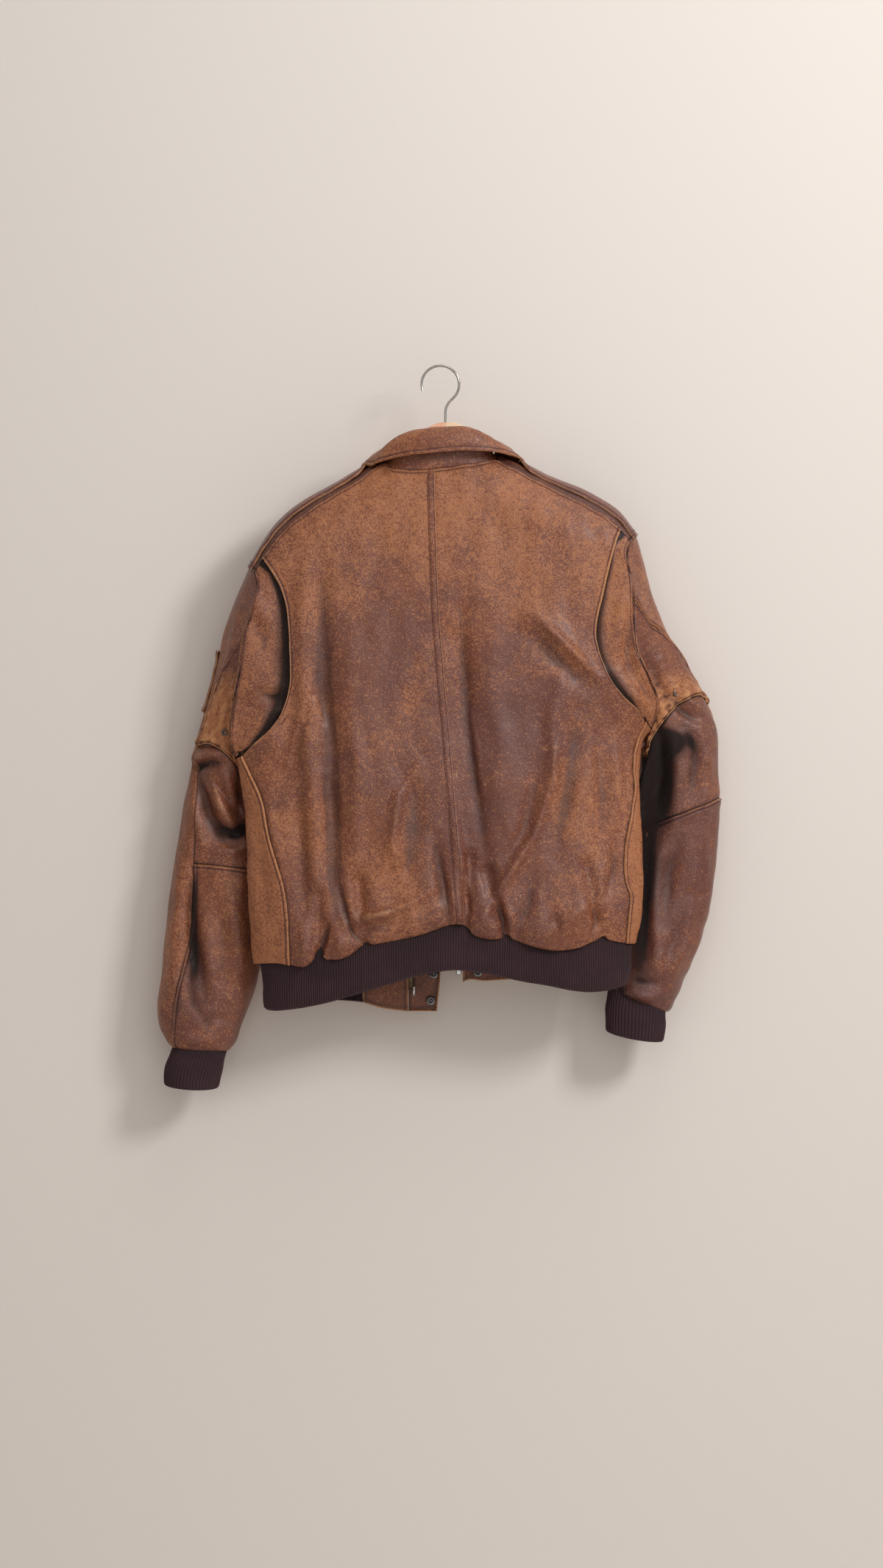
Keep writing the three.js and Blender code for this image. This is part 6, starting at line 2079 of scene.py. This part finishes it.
class JACKET_OT_stage(bpy.types.Operator):
    """Set up the wall, the floor, the lights and the camera"""

    bl_idname = "jacket.stage"
    bl_label = "Stage"

    def execute(self, context):
        studio = context.scene.jacket_studio
        everything_off()
        wall = one_sided("WallPaint", tuple(studio.wall), 0.9)
        for name, location, turn, size in (
                ("wall", (0, studio.wall_y, -0.2), (math.pi / 2, 0, 0), 9.0),
                ("floor", (0, studio.wall_y - 2.5, -1.75), (0, 0, 0), 9.0)):
            bpy.ops.mesh.primitive_plane_add(size=size, location=location, rotation=turn)
            plane = context.object
            plane.name = name
            into_mesh()
            plane.data.materials.append(wall)
        for name, energy, size, location, aim in (
                ("key", 62.0, 0.8, (2.0, -2.3, 1.1), (0.2, 0, -0.5)),
                ("fill", 15.0, 2.4, (0.3, -3.2, -0.1), (0.1, 0, -0.5)),
                ("top", 11.0, 1.4, (0.5, -1.0, 1.8), (0, 0, -0.4)),
                ("front", 44.0, 2.0, (0.6, 2.6, 0.8), (0, 0, -0.5))):
            data = bpy.data.lights.new(name, "AREA")
            data.energy, data.size = energy, size
            light = bpy.data.objects.new(name, data)
            light.location = location
            light.visible_camera = False
            light.rotation_euler = (Vector(aim) - Vector(location)).to_track_quat("-Z", "Y").to_euler()
            context.scene.collection.objects.link(light)
        world = bpy.data.worlds.new("Studio")
        world.use_nodes = True
        background = world.node_tree.nodes["Background"].inputs
        background["Color"].default_value = (1.0, 0.97, 0.94, 1)
        background["Strength"].default_value = WORLD_LIGHT
        context.scene.world = world
        context.scene.view_settings.view_transform = "Standard"
        camera = bpy.data.objects.new("camera", bpy.data.cameras.new("camera"))
        camera.data.sensor_width = SENSOR
        camera.data.lens = studio.lens
        away = studio.frame_height * studio.lens / SENSOR
        camera.location = (studio.aim_x, BACK_PLANE - away, studio.aim_z)
        camera.rotation_euler = (math.pi / 2, 0, 0)
        camera.data.clip_end = 50
        context.scene.collection.objects.link(camera)
        context.scene.camera = camera
        return {"FINISHED"}


def one_sided(name, colour, rough):
    """Paint that shows from the front only, so that the object can be seen from behind the wall."""
    material = bpy.data.materials.new(name)
    material.use_nodes = True
    n = Nodes(material.node_tree)
    material.node_tree.nodes.clear()
    where = n.add("ShaderNodeTexCoord").outputs["Object"]
    tone = n.noise(where, 1.3, 3.0, 0.5)
    paint = n.blend(n.times(tone, 0.25), colour, linear(206, 200, 190))
    bumps = n.relief(n.noise(where, 160.0, 3.0), 0.12, 0.001)
    shader = n.add("ShaderNodeBsdfPrincipled", {"Base Color": paint, "Roughness": rough, "Normal": bumps})
    clear = n.add("ShaderNodeBsdfTransparent")
    back = n.add("ShaderNodeNewGeometry").outputs["Backfacing"]
    shadow = n.add("ShaderNodeLightPath").outputs["Is Shadow Ray"]
    through = n.math("MAXIMUM", back, shadow)
    both = n.add("ShaderNodeMixShader", {0: through, 1: shader, 2: clear})
    n.add("ShaderNodeOutputMaterial", {"Surface": both})
    return material


class JACKET_PT_panel(bpy.types.Panel):
    """Every step of the jacket, in order"""

    bl_idname = "JACKET_PT_panel"
    bl_label = "Leather Flight Jacket"
    bl_space_type = "VIEW_3D"
    bl_region_type = "UI"
    bl_category = "Jacket"

    def draw(self, context):
        for step in STEPS:
            self.layout.operator(step.bl_idname)
        for group in (context.scene.jacket_finish, context.scene.jacket_studio):
            for key in group.__annotations__:
                self.layout.prop(group, key)


STEPS = (JACKET_OT_stage, JACKET_OT_materials, JACKET_OT_body, JACKET_OT_shoulders, JACKET_OT_sleeves,
         JACKET_OT_collar, JACKET_OT_ribs, JACKET_OT_hanger, JACKET_OT_hook, JACKET_OT_fastenings,
         JACKET_OT_stitching)
CLASSES = (JacketFinish, StudioSetup, *STEPS, JACKET_PT_panel)


def register():
    for cls in CLASSES:
        bpy.utils.register_class(cls)
    bpy.types.Scene.jacket_finish = bpy.props.PointerProperty(type=JacketFinish)
    bpy.types.Scene.jacket_studio = bpy.props.PointerProperty(type=StudioSetup)


def unregister():
    del bpy.types.Scene.jacket_studio
    del bpy.types.Scene.jacket_finish
    for cls in reversed(CLASSES):
        bpy.utils.unregister_class(cls)


def main():
    register()
    for step in STEPS:
        area, name = step.bl_idname.split(".")
        if getattr(getattr(bpy.ops, area), name)() != {"FINISHED"}:
            raise RuntimeError(f"{step.bl_label} didn't finish")


if __name__ == "__main__":
    main()
